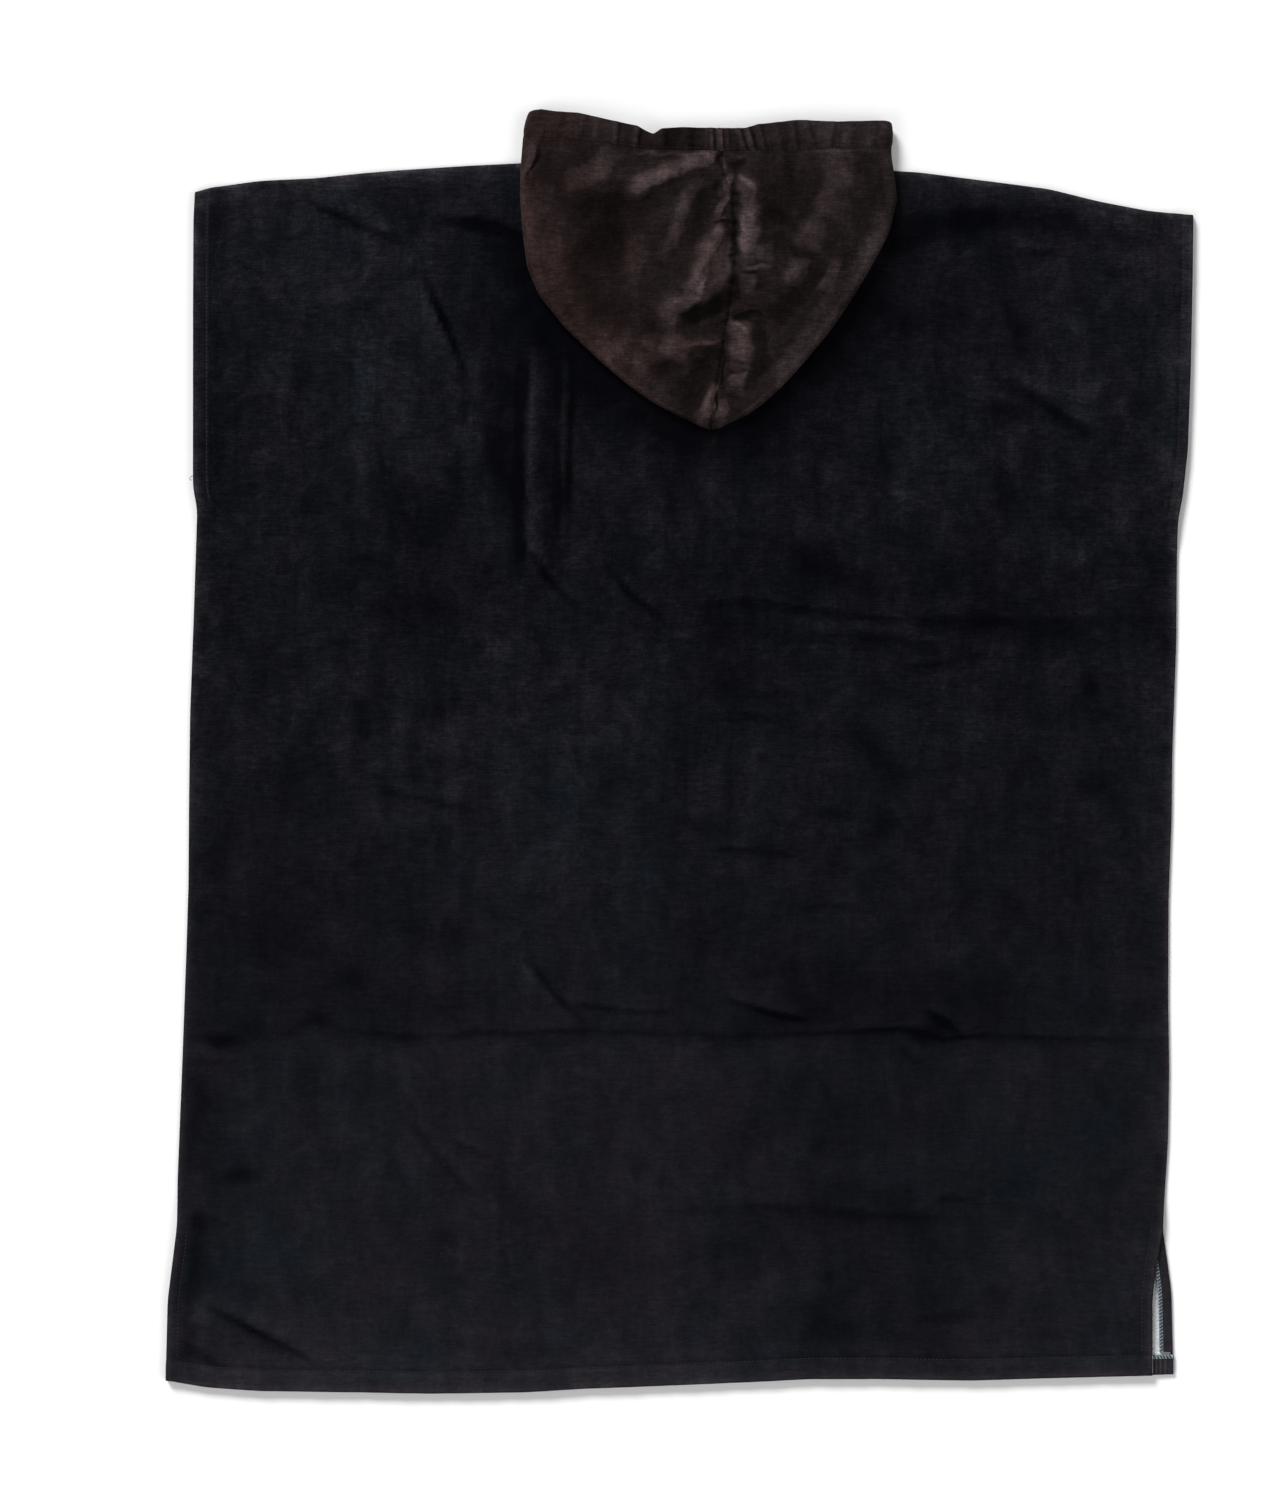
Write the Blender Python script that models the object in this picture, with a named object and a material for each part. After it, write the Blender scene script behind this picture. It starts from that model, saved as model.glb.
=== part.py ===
"""A hooded bath poncho of velour towelling, laid flat with its back up and its hood folded down.

+X is to the right of the back, +Y runs from the hem to the hood, +Z is up, and the cloth lies on
z = 0. Sizes are in millimetres, and a mesh turns them into metres.

Each panel is a wall of cloth over a grid of (u, v) shares: u runs across from the left side, v up
from the hem. The hood is a bag of two halves, each one sheet folded round its outer side.
"""

import math

import bmesh
import bpy
import numpy as np

for old in list(bpy.data.objects):
    bpy.data.objects.remove(old, do_unlink=True)

MM = 0.001
CLOTH = 2.0  # thickness of the towelling
GAP = 0.3  # space at a seam, and between layers that touch
LAYER = CLOTH + GAP

BLUE_BLACK = (0.0075, 0.0085, 0.0115)
DARK_BROWN = (0.022, 0.0145, 0.0132)

# ------------------------------------------------------------------ outline of the body
LEFT_SIDE = (
    # place                   y        x
    ("shoulder corner",      504.0,  -436.0),
    ("armhole, upper half",  407.0,  -438.0),
    ("armhole end",          238.0,  -439.0),
    ("side seam, top",       220.0,  -435.2),
    ("side seam, middle",    -43.0,  -441.5),
    ("side seam, low",      -286.0,  -446.0),
    ("slit top",            -428.0,  -450.5),
    ("slit, spread",        -493.0,  -461.0),
    ("hem corner",          -565.0,  -463.0),
)
RIGHT_SIDE_BACK = (
    # place                   y        x
    ("shoulder corner",      482.4,   463.0),
    ("armhole end",          226.0,   452.0),
    ("side seam, top",       210.0,   449.0),
    ("side seam, upper",     137.0,   446.0),
    ("side seam, middle",    -43.0,   440.5),
    ("side seam, low",      -223.0,   437.8),
    ("slit top",            -428.0,   434.2),
    ("slit, drawn in",      -466.0,   428.0),
    ("slit, straight",      -492.0,   425.0),
    ("hem corner",          -560.7,   425.0),
)
RIGHT_SIDE_FRONT = RIGHT_SIDE_BACK[:7] + (
    ("slit, spread",        -486.0,   441.5),
    ("hem corner",          -559.8,   443.0),
)
SHOULDER_LINE = (
    # place                   x        y
    ("left corner",         -436.0,   504.0),
    ("left, rounded off",   -426.0,   508.5),
    ("left, outer",         -378.5,   514.8),
    ("left, middle",        -252.5,   521.0),
    ("left neck point",     -112.0,   532.0),
    ("right neck point",     162.0,   525.0),
    ("right, middle",        242.6,   519.3),
    ("right, sloping",       296.6,   513.0),
    ("right, outer",         377.6,   496.8),
    ("right corner",         463.0,   482.4),
)
HEM_LINE = (
    # place                   x        y
    ("left corner",         -463.0,  -565.0),
    ("left",                -378.5,  -574.0),
    ("lowest",              -225.5,  -577.8),
    ("left of middle",      -108.5,  -576.0),
    ("middle",               -27.5,  -571.5),
    ("right of middle",       71.6,  -566.0),
    ("right",                332.6,  -562.5),
    ("back corner",          425.0,  -560.7),
    ("front corner",         443.0,  -559.8),
)

NECK_X = 25.0  # middle of the neck, also of the centre front
NECK_HALF_WIDTH = 137.0
BACK_NECK_DROP = 16.0
FRONT_NECK_DROP = 85.0

HEM_SHARE = 0.017  # the bottom hem is 18 mm deep
HEM_FADE_SHARE = 0.030  # where the back lies down again above its hem
SLIT_SHARE = 0.1275  # the side slits are 135 mm long
ARMHOLE_SHARE = 0.738  # the armholes take the top 275 mm of the sides
TURNING = 12.0  # depth of the armhole hems and of the slit turnings
TURNING_FADE = 26.0
SPAN_FADE_SHARE = 0.03


def through(table):
    """The last column of a table's rows as a function of the one before it, straight in between."""
    rows = sorted(row[1:3] for row in table)
    return lambda at: float(np.interp(at, [r[0] for r in rows], [r[1] for r in rows]))


def rise(at, start, end):
    """0 up to start and 1 from end on, with a soft slope between them."""
    t = min(max((at - start) / (end - start), 0.0), 1.0)
    return t * t * (3 - 2 * t)


left_x = through(LEFT_SIDE)
shoulder_y = through(SHOULDER_LINE)
hem_y = through(HEM_LINE)


def neckline_y(x, drop):
    """Height of the panel's top edge: the shoulder line, scooped out between the neck points."""
    inside = 1 - ((x - NECK_X) / NECK_HALF_WIDTH) ** 2
    return shoulder_y(x) - drop * math.sqrt(max(inside, 0.0))


def panel_plan(right_side, neck_drop):
    """The (x, y) of a panel's (u, v): its four edges, blended over the inside."""
    right_x = through(right_side)
    low_left, top_left = LEFT_SIDE[-1][1], LEFT_SIDE[0][1]
    low_right, top_right = right_side[-1][1], right_side[0][1]

    def bottom(u):
        x = left_x(low_left) + u * (right_x(low_right) - left_x(low_left))
        return np.array((x, hem_y(x)))

    def top(u):
        x = left_x(top_left) + u * (right_x(top_right) - left_x(top_left))
        return np.array((x, neckline_y(x, neck_drop)))

    def side(edge, low, high, v):
        y = low + v * (high - low)
        return np.array((edge(y), y))

    def point(u, v):
        left, right = side(left_x, low_left, top_left, v), side(right_x, low_right, top_right, v)
        corners = (1 - v) * ((1 - u) * bottom(0) + u * bottom(1))
        corners = corners + v * ((1 - u) * top(0) + u * top(1))
        return (1 - v) * bottom(u) + v * top(u) + (1 - u) * left + u * right - corners

    return point


back_plan = panel_plan(RIGHT_SIDE_BACK, BACK_NECK_DROP)
front_plan = panel_plan(RIGHT_SIDE_FRONT, FRONT_NECK_DROP)

# Columns of the panels' grid: the turnings, the shoulders and, closer together, the neck.
SHOULDER_STEPS = 8
NECK_STEPS = 12
SLIT_STEPS = 5
SIDE_STEPS = 23
ARMHOLE_STEPS = 11
FRONT_BENDS = (0.07, 0.40, ARMHOLE_SHARE - 0.02, 0.90)  # where the front's side edges bend
LEFT_END, RIGHT_END = SHOULDER_LINE[0][1], SHOULDER_LINE[-1][1]
NECK_COLUMNS = [
    NECK_X - NECK_HALF_WIDTH * math.cos(math.pi * k / NECK_STEPS) for k in range(NECK_STEPS + 1)
]


def shoulder_columns(end, neck):
    """x of the columns from a shoulder's end to the column before its neck point."""
    inward = math.copysign(1.0, neck - end)
    inner = np.linspace(end + inward * TURNING_FADE, neck, SHOULDER_STEPS)[:-1]
    return [end, end + inward * TURNING, *inner]


COLUMNS = [
    (x - LEFT_END) / (RIGHT_END - LEFT_END)
    for x in (
        *shoulder_columns(LEFT_END, NECK_COLUMNS[0]),
        *NECK_COLUMNS,
        *reversed(shoulder_columns(RIGHT_END, NECK_COLUMNS[-1])),
    )
]
BACK_ROWS = [
    0.0,
    HEM_SHARE,
    HEM_FADE_SHARE,
    *np.linspace(HEM_FADE_SHARE, SLIT_SHARE, SLIT_STEPS)[1:],
    *np.linspace(SLIT_SHARE, ARMHOLE_SHARE, SIDE_STEPS)[1:],
    *np.linspace(ARMHOLE_SHARE, 1.0, ARMHOLE_STEPS)[1:],
]
FRONT_ROWS = sorted((0.0, HEM_SHARE, SLIT_SHARE, ARMHOLE_SHARE, 1.0, *FRONT_BENDS))

# ------------------------------------------------------------------ how high the back lies
BACK_FOLDS = (
    # fold                        from x     y     to x      y   width  height
    ("packing crease, left",       -300,  -246,    -60,   -250,   16,   2.6),
    ("packing crease, right",       -60,  -250,    431,   -256,   16,   2.8),
    ("fold into the crease",       -149,  -190,    -86,   -248,   16,   3.2),
    ("crossing fold, right",        233,  -222,    247,   -272,   15,   3.0),
    ("drape beside the hood",      -138,   350,   -134,    185,   16,   4.0),
    ("drape left of it",           -232,   420,   -196,    335,   16,   3.4),
    ("shoulder fold, left",        -324,   494,   -150,    472,   16,   3.0),
    ("shoulder fold, right",        242,   497,    420,    468,   15,   2.4),
    ("sleeve fold, right",          287,   339,    369,    294,   16,   3.0),
    ("middle fold, right",           17,   137,    252,    122,   17,   3.0),
    ("short fold, middle",          -64,   238,    -18,    200,   15,   2.6),
    ("low fold, left",             -236,  -322,   -180,   -400,   15,   2.8),
    ("corner fold, left",          -421,  -497,   -331,   -544,   15,   3.2),
)
THROAT_LIFT = 2.6  # the back rides over the hood's throat casing, below it
THROAT_LIFT_ACROSS = ((-110.0, -70.0), (120.0, 160.0))  # where it rises and falls in x
THROAT_LIFT_UP = (385.0, 420.0)  # and in y


def fold_height(folds, x, y):
    """Sum of soft ridges, each along a straight line and rounded off at its ends."""
    total = 0.0
    for _, x0, y0, x1, y1, width, height in folds:
        along = np.array((x1 - x0, y1 - y0), float)
        to = np.array((x - x0, y - y0), float)
        t = min(max(to @ along / (along @ along), 0.0), 1.0)
        off = np.linalg.norm(to - t * along)
        total += height * math.exp(-((off / width) ** 2))
    return total


def turned_layers(u, v):
    """1 where two turned-in layers lie between the panels and 0 where there are none."""
    hem = 1 - rise(v, HEM_SHARE, HEM_FADE_SHARE)
    width = RIGHT_END - LEFT_END
    edge = 1 - rise(min(u, 1 - u) * width, TURNING, TURNING_FADE)
    slit = 1 - rise(v, SLIT_SHARE, SLIT_SHARE + SPAN_FADE_SHARE)
    armhole = rise(v, ARMHOLE_SHARE - SPAN_FADE_SHARE, ARMHOLE_SHARE)
    return max(hem, edge * max(slit, armhole))


def open_lift(x, y):
    """How far folds and the throat casing lift the back, away from its hems."""
    left, right = THROAT_LIFT_ACROSS
    share = rise(x, *left) * (1 - rise(x, *right)) * rise(y, *THROAT_LIFT_UP)
    return fold_height(BACK_FOLDS, x, y) + THROAT_LIFT * share


def back_under(u, v):
    """Height of the back's underside."""
    x, y = back_plan(u, v)
    return LAYER + 2 * LAYER * turned_layers(u, v) + open_lift(x, y)


# ------------------------------------------------------------------ walls of cloth
def finish(name, colour):
    material = bpy.data.materials.new(name + "_cloth")
    material.use_nodes = True
    shader = material.node_tree.nodes["Principled BSDF"]
    shader.inputs["Base Color"].default_value = (*colour, 1.0)
    shader.inputs["Roughness"].default_value = 0.95
    shader.inputs["Metallic"].default_value = 0.0
    return material


def solid(name, points, faces, colour):
    """One closed mesh object, its faces turned outwards."""
    mesh = bpy.data.meshes.new(name)
    mesh.from_pydata([tuple(np.asarray(p, float) * MM) for p in points], [], faces)
    shape = bmesh.new()
    shape.from_mesh(mesh)
    bmesh.ops.recalc_face_normals(shape, faces=shape.faces)
    shape.to_mesh(mesh)
    shape.free()
    mesh.materials.append(finish(name, colour))
    piece = bpy.data.objects.new(name, mesh)
    bpy.context.scene.collection.objects.link(piece)
    return piece


def halves(points, a, b, c, d):
    """Two triangles of a quad, split between the corners that are more alike in height."""
    if abs(points[a][2] - points[c][2]) <= abs(points[b][2] - points[d][2]):
        return (a, b, c), (a, c, d)
    return (a, b, d), (b, c, d)


def wall(name, outer, inner, faces, colour):
    """A wall between two like sheets, closed along every edge that only one face has.

    Both sheets are split along the same diagonals, so that they stay one cloth apart in a fold.
    """
    count = len(outer)
    faces = [half for face in faces for half in halves(outer, *face)]
    edges = {}
    for face in faces:
        for a, b in zip(face, face[1:] + face[:1]):
            edges[frozenset((a, b))] = None if frozenset((a, b)) in edges else (a, b)
    backs = [tuple(count + i for i in reversed(face)) for face in faces]
    rim = [(b, a, count + a, count + b) for a, b in filter(None, edges.values())]
    solid(name, [*outer, *inner], [*faces, *backs, *rim], colour)


def grid_faces(rows, columns, skipped=()):
    """Quads of a grid numbered row by row, without the skipped (row, column) ones."""
    return [
        (r * columns + c, r * columns + c + 1, (r + 1) * columns + c + 1, (r + 1) * columns + c)
        for r in range(rows - 1)
        for c in range(columns - 1)
        if (r, c) not in skipped
    ]


def flat_wall(name, plan, columns, rows, under):
    """A panel or strip: plan gives its (x, y), under its underside, and it is one cloth thick."""
    low = [(*plan(u, v), under(u, v)) for v in rows for u in columns]
    high = [(x, y, z + CLOTH) for x, y, z in low]
    wall(name, high, low, grid_faces(len(rows), len(columns)), BLUE_BLACK)


# ------------------------------------------------------------------ front and back panels
flat_wall("front_panel", front_plan, COLUMNS, FRONT_ROWS, lambda u, v: 0.0)
flat_wall("back_panel", back_plan, COLUMNS, BACK_ROWS, back_under)

# ------------------------------------------------------------------ turned-in hems, between the panels
PANEL_LENGTH = 1060.0
SEAM_SHARE = GAP / PANEL_LENGTH


def front_turning(u, v):
    return LAYER


def back_turning(u, v):
    return back_under(u, v) - LAYER


PANELS = (
    ("front", front_plan, front_turning),
    ("back", back_plan, back_turning),
)
HEM_ROWS = BACK_ROWS[:2]
ARMHOLE_ROWS = [v for v in BACK_ROWS if v >= ARMHOLE_SHARE]
SLIT_ROWS = [HEM_SHARE + SEAM_SHARE, *(v for v in BACK_ROWS if HEM_SHARE < v <= SLIT_SHARE)]
for panel, plan, under in PANELS:
    flat_wall(f"{panel}_hem", plan, COLUMNS, HEM_ROWS, under)
    for side, columns in (("left", COLUMNS[:2]), ("right", COLUMNS[-2:])):
        flat_wall(f"{panel}_armhole_hem_{side}", plan, columns, ARMHOLE_ROWS, under)
        flat_wall(f"{panel}_slit_turn_{side}", plan, columns, SLIT_ROWS, under)

# ------------------------------------------------------------------ hood
HOOD_SECTIONS = (
    # y       left fold   seam    right fold   top of the upper layer
    (292.0,     21.0,     28.5,      36.5,     11.0),
    (296.0,     12.0,     29.0,      44.0,     11.8),
    (303.0,     -3.0,     29.5,      60.0,     12.8),
    (314.0,    -25.0,     30.0,      75.5,     14.0),
    (330.0,    -48.0,     33.0,      93.0,     15.2),
    (352.0,    -74.0,     37.0,     113.0,     16.5),
    (380.0,   -104.0,     41.0,     136.0,     17.6),
    (408.0,   -127.0,     46.0,     155.0,     18.4),
    (434.0,   -138.0,     49.5,     170.6,     19.0),
    (465.0,   -142.0,     50.0,     187.0,     19.6),
    (497.0,   -144.5,     47.3,     195.0,     20.2),
    (525.0,   -145.5,     38.0,     195.4,     20.4),
    (537.0,   -144.5,     37.8,     194.5,     20.0),
    (549.0,   -143.0,     37.5,     193.0,     19.4),
    (566.0,   -139.0,     37.0,     191.5,     18.8),
)
TIP_ROWS = (292.0, 296.0, 303.0, 314.0)  # close together where the crown is narrow
NECK_ROW_Y = 525.0
FIRST_NAPE_Y = 330.0
NAPE_STEPS = 14
NAPE_HEIGHTS = (*TIP_ROWS, *np.linspace(FIRST_NAPE_Y, NECK_ROW_Y, NAPE_STEPS))
ROW_HEIGHTS = (*NAPE_HEIGHTS, 537.0, 549.0, 566.0)
NAPE_ROWS = len(NAPE_HEIGHTS)  # the next row goes over the shoulder, then come the casing's two
CASING_ROW, EDGE_ROW = NAPE_ROWS + 1, NAPE_ROWS + 2
FACE_EDGE = (
    # place                   x        y
    ("left corner",         -139.0,   576.0),
    ("left, highest",       -122.0,   577.8),
    ("left",                 -95.0,   575.0),
    ("left, falling",        -50.0,   562.5),
    ("notch",                -22.0,   556.2),
    ("beside the notch",     -17.0,   559.4),
    ("seam",                  37.0,   561.6),
    ("right",                 98.6,   565.2),
    ("right, highest",       134.6,   568.0),
    ("right corner",         191.5,   565.2),
)
CASING_SEAM = (
    # place                   x        y
    ("left fold",           -143.0,   553.5),
    ("left",                 -95.0,   553.0),
    ("left of the seam",     -40.0,   547.5),
    ("seam",                  37.5,   545.0),
    ("right",                110.0,   547.5),
    ("right fold",           193.0,   548.0),
)
CASING_DEPTH = 20.0
CENTRE_FRONT_Y = 463.0  # where the casing's two ends meet at the throat
HOOD_FOLDS = (
    # fold                        from x     y     to x      y   width  height
    ("big fold at the seam",         36,   470,    -16,    398,   15,   7.0),
    ("fold under the casing",        24,   530,    -42,    508,   14,   4.5),
    ("fold between them",            14,   514,    -26,    436,   10,   3.0),
    ("welt right of the seam",       60,   520,     64,    432,   12,   4.5),
    ("lump right of the seam",       56,   382,     54,    346,   12,   4.0),
    ("crease to the right fold",    128,   440,     98,    380,   12,   2.5),
    ("fold at the left",            -60,   372,    -20,    352,   14,   3.0),
)
HOOD_CROWN = 2.5  # how far each half swells between seam and fold
CROWN_WIDTH = 40.0  # a narrower half swells less
FOLD_ROUND = 9.0  # how far in from its side the hood rounds over
FOLD_WIDTH_SHARE = 0.55  # of a half's width, where that is less
FLOOR_STEP = 8.0  # past the shoulder line, where the hood reaches the floor
SHOULDER_CLEARANCE = 1.0
REST_REACH = 18.0  # the nape lies on the highest of the back within this distance
NECK_CLEARANCE = 1.0  # least distance from the casing's seam to the front neckline
NAPE_NECK_SHARE = 0.14  # how far in from its fold the nape's first neck column stands

face_edge_y = through(FACE_EDGE)
casing_seam_y = through(CASING_SEAM)


def throat_edge_y(x, side):
    """The face edge's lower half, from a corner of the hood down to the centre front."""
    corner = FACE_EDGE[0 if side < 0 else -1]
    t = min(abs(x - NECK_X) / abs(corner[1] - NECK_X), 1.0)
    return CENTRE_FRONT_Y + (corner[2] - CENTRE_FRONT_Y) * math.sin(math.pi / 2 * t)


def throat_seam_y(x, side):
    """The casing's seam on that half, CASING_DEPTH in from the edge, and never past the neckline."""
    slope = (throat_edge_y(x + 1, side) - throat_edge_y(x - 1, side)) / 2
    seam = throat_edge_y(x, side) - CASING_DEPTH * math.hypot(1.0, slope)
    return max(seam, neckline_y(x, FRONT_NECK_DROP) + NECK_CLEARANCE)


def on_back(x, y):
    """Where the nape lies: on the highest point of the back round about."""
    near = [
        open_lift(x + dx, y + dy)
        for dx in (-REST_REACH, 0.0, REST_REACH)
        for dy in (-REST_REACH, 0.0, REST_REACH)
    ]
    return 2 * LAYER + max(near)


def hood_section(y):
    """Left fold, seam, right fold and height of the upper layer at y."""
    sections = np.array(HOOD_SECTIONS)
    return [float(np.interp(y, sections[:, 0], sections[:, k])) for k in range(1, 5)]


UPPER_SHARES = np.linspace(0.0, 1.0, 13)  # upper layer, from the seam to where it turns down
NOSE_ANGLES = (45.0, 0.0, -45.0)  # round the fold
OUTER_SHARES = (0.0, 0.5)  # lower layer, from the fold to the neck point
THROAT_SHARES = [  # lower layer, from the neck point to the centre seam, as the neckline's columns
    (x - NECK_COLUMNS[0]) / NECK_HALF_WIDTH for x in NECK_COLUMNS[:NECK_STEPS // 2 + 1]
]
FIRST_LOWER = len(UPPER_SHARES) + len(NOSE_ANGLES)
NECK_COLUMN = FIRST_LOWER + len(OUTER_SHARES)


def hood_row(row, side, upper_shares=UPPER_SHARES):
    """The outside of one half of the hood along one row: upper layer, fold, lower layer."""
    y = ROW_HEIGHTS[row]
    left, seam, right, top = hood_section(y)
    fold = left if side < 0 else right
    width = abs(fold - seam)
    round_in = min(FOLD_ROUND, FOLD_WIDTH_SHARE * width)
    swell = HOOD_CROWN * min(width / CROWN_WIDTH, 1.0)
    turn_x = fold - side * round_in
    past_neck = row >= NAPE_ROWS

    def upper_y(x):
        return {CASING_ROW: casing_seam_y(x), EDGE_ROW: face_edge_y(x)}.get(row, y)

    def lower_y(x):
        if row == NAPE_ROWS:
            return shoulder_y(x) + FLOOR_STEP
        if row == NAPE_ROWS - 1:
            return shoulder_y(x) + SHOULDER_CLEARANCE
        return {CASING_ROW: throat_seam_y(x, side), EDGE_ROW: throat_edge_y(x, side)}.get(row, y)

    def upper_z(x):
        share = abs(x - seam) / width
        return top + swell * math.sin(math.pi * share) + fold_height(HOOD_FOLDS, x, upper_y(x))

    def lower_z(x, y):
        return 0.0 if past_neck else on_back(x, y)

    points = []
    for share in upper_shares:
        x = seam + side * GAP / 2 + share * (turn_x - seam - side * GAP / 2)
        points.append((x, upper_y(x), upper_z(x)))
    high, low = upper_z(turn_x), lower_z(turn_x, lower_y(turn_x))
    for angle in np.radians(NOSE_ANGLES):
        down = (1 - math.sin(angle)) / 2
        points.append((
            turn_x + side * round_in * math.cos(angle),
            upper_y(fold) + down * (lower_y(fold) - upper_y(fold)),
            high + down * (low - high),
        ))
    neck_x = turn_x + NAPE_NECK_SHARE * (seam - turn_x)
    if row >= NAPE_ROWS - 1:
        neck_x = NECK_COLUMNS[0 if side < 0 else -1]
    for share in OUTER_SHARES:
        x = turn_x + share * (neck_x - turn_x)
        points.append((x, lower_y(x), lower_z(x, lower_y(x))))
    if row == NAPE_ROWS - 1:
        seam = hood_section(neckline_y(seam, BACK_NECK_DROP))[1]
    middle = (NECK_X if past_neck else seam) + side * GAP / 2
    for k, share in enumerate(THROAT_SHARES):
        x = neck_x + share * (middle - neck_x)
        y = lower_y(x)
        if row == NAPE_ROWS - 1 and k > 0:
            y = neckline_y(x, BACK_NECK_DROP)
        if row == NAPE_ROWS and k > 0:
            y = neckline_y(x, FRONT_NECK_DROP) + GAP
            x -= side * GAP * (1 - share)
        points.append((x, y, lower_z(x, y)))
    return points


def inside_of(points):
    """The same row moved in by the cloth's thickness, straight up or down at its two ends."""
    moved = []
    last = len(points) - 1
    for i, (x, y, z) in enumerate(points):
        if i in (0, last):
            normal = np.array((0.0, -1.0 if i == 0 else 1.0))
        else:
            along = np.array(points[i + 1])[[0, 2]] - np.array(points[i - 1])[[0, 2]]
            turn = math.copysign(1.0, points[len(UPPER_SHARES)][0] - points[0][0])
            normal = turn * np.array((along[1], -along[0])) / np.linalg.norm(along)
        moved.append((x + CLOTH * normal[0], y, z + CLOTH * normal[1]))
    return moved


def hood_half(name, side):
    """Rows from the crown's tip to the casing. The neckline parts the nape from the throat."""
    rows = [hood_row(row, side) for row in range(CASING_ROW + 1)]
    inner = [inside_of(row) for row in rows]
    columns = len(rows[0])
    neck_cut = {(NAPE_ROWS - 1, c) for c in range(NECK_COLUMN, columns - 1)}
    faces = grid_faces(len(rows), columns, neck_cut)
    wall(name, sum(rows, []), sum(inner, []), faces, DARK_BROWN)


hood_half("hood_left", -1)
hood_half("hood_right", 1)

# ------------------------------------------------------------------ casing along the hood's face edge
CASING_RING = (
    # share of the depth, inward from the outer face
    (0.00,  0.0),
    (0.45, -1.0),
    (0.90,  0.0),
    (1.00,  CLOTH + GAP / 2),
    (0.90,  CLOTH + LAYER),
    (0.45,  CLOTH + LAYER),
    (0.00,  CLOTH + LAYER),
    (0.00,  LAYER),
    (0.85,  LAYER),
    (0.85,  CLOTH),
    (0.00,  CLOTH),
)
CASING_SHARES = np.linspace(0.0, 1.0, 15)
PLEATS = (
    # pleat                    x     width  height
    ("beside the seam",       24.0,   5.0,   2.2),
    ("right of the seam",     58.0,   7.0,   2.4),
    ("second on the right",   71.0,   6.0,   1.6),
    ("below the notch",      -22.0,   8.0,   1.8),
    ("left",                 -62.0,   8.0,   1.4),
    ("right",                120.0,   9.0,   1.2),
)


def pleat_height(x):
    return sum(height * math.exp(-(((x - at) / width) ** 2)) for _, at, width, height in PLEATS)


def hood_casing(name, side):
    """The face edge turned in on itself, from the centre seam round the corner to the throat."""
    seam_row = hood_row(CASING_ROW, side, CASING_SHARES)
    edge_row = hood_row(EDGE_ROW, side, CASING_SHARES)
    points = []
    for column, (low, high) in enumerate(zip(seam_row, edge_row)):
        low = np.array(low) + (0.0, GAP, 0.0)
        high = np.array(high)
        inward = np.array(column_inward(seam_row, column, side))
        lift = pleat_height(low[0]) if column < len(CASING_SHARES) else 0.0
        upward = (0.0, 0.0, lift)
        for share, depth in CASING_RING:
            point = low + share * (high - low) + depth * inward + upward
            point[2] = max(point[2], 0.0)
            points.append(point)
    count = len(CASING_RING)
    faces = []
    for column in range(len(seam_row) - 1):
        for i in range(count):
            a, b = column * count + i, column * count + (i + 1) % count
            faces.append((a, b, b + count, a + count))
    last = (len(seam_row) - 1) * count
    faces += [tuple(range(count)), tuple(last + i for i in reversed(range(count)))]
    solid(name, points, faces, DARK_BROWN)


def column_inward(row, column, side):
    """Direction into the hood at a column, across the row: down above, up below, in at the fold."""
    first, last = len(CASING_SHARES), len(CASING_SHARES) + len(NOSE_ANGLES)
    if column < first - 1:
        return (0.0, 0.0, -1.0)
    if column > last:
        return (0.0, 0.0, 1.0)
    along = np.array(row[column + 1])[[0, 2]] - np.array(row[column - 1])[[0, 2]]
    normal = side * np.array((along[1], -along[0])) / np.linalg.norm(along)
    return (normal[0], 0.0, normal[1])


hood_casing("hood_casing_left", -1)
hood_casing("hood_casing_right", 1)
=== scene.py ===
import math

import bpy
import numpy as np
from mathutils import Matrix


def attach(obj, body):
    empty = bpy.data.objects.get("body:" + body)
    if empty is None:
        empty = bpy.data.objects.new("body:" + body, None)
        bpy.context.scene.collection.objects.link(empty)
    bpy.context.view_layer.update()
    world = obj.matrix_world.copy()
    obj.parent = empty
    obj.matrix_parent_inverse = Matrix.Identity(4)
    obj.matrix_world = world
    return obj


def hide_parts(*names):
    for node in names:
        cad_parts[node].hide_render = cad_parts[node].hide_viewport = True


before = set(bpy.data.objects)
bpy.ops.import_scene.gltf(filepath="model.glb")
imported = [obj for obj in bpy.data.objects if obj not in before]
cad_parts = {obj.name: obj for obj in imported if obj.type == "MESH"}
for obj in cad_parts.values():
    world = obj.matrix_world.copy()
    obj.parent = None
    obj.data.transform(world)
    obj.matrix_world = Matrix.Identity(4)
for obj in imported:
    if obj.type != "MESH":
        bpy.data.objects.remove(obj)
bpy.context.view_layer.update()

# ---------------------------------------------------------------- back panel
# One panel of cotton velour towelling, blue-black with a white looped reverse, laid velour side
# up. Its bottom edge, armholes and side slits are turned in and stitched, its sides and shoulders
# are seamed to the front, and it lies in the shallow folds that packing left in it.
MM = 0.001
CLOTH = 2.0  # sizes are in millimetres, and a mesh turns them into metres
GAP = 0.3
LAYER = CLOTH + GAP

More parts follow.
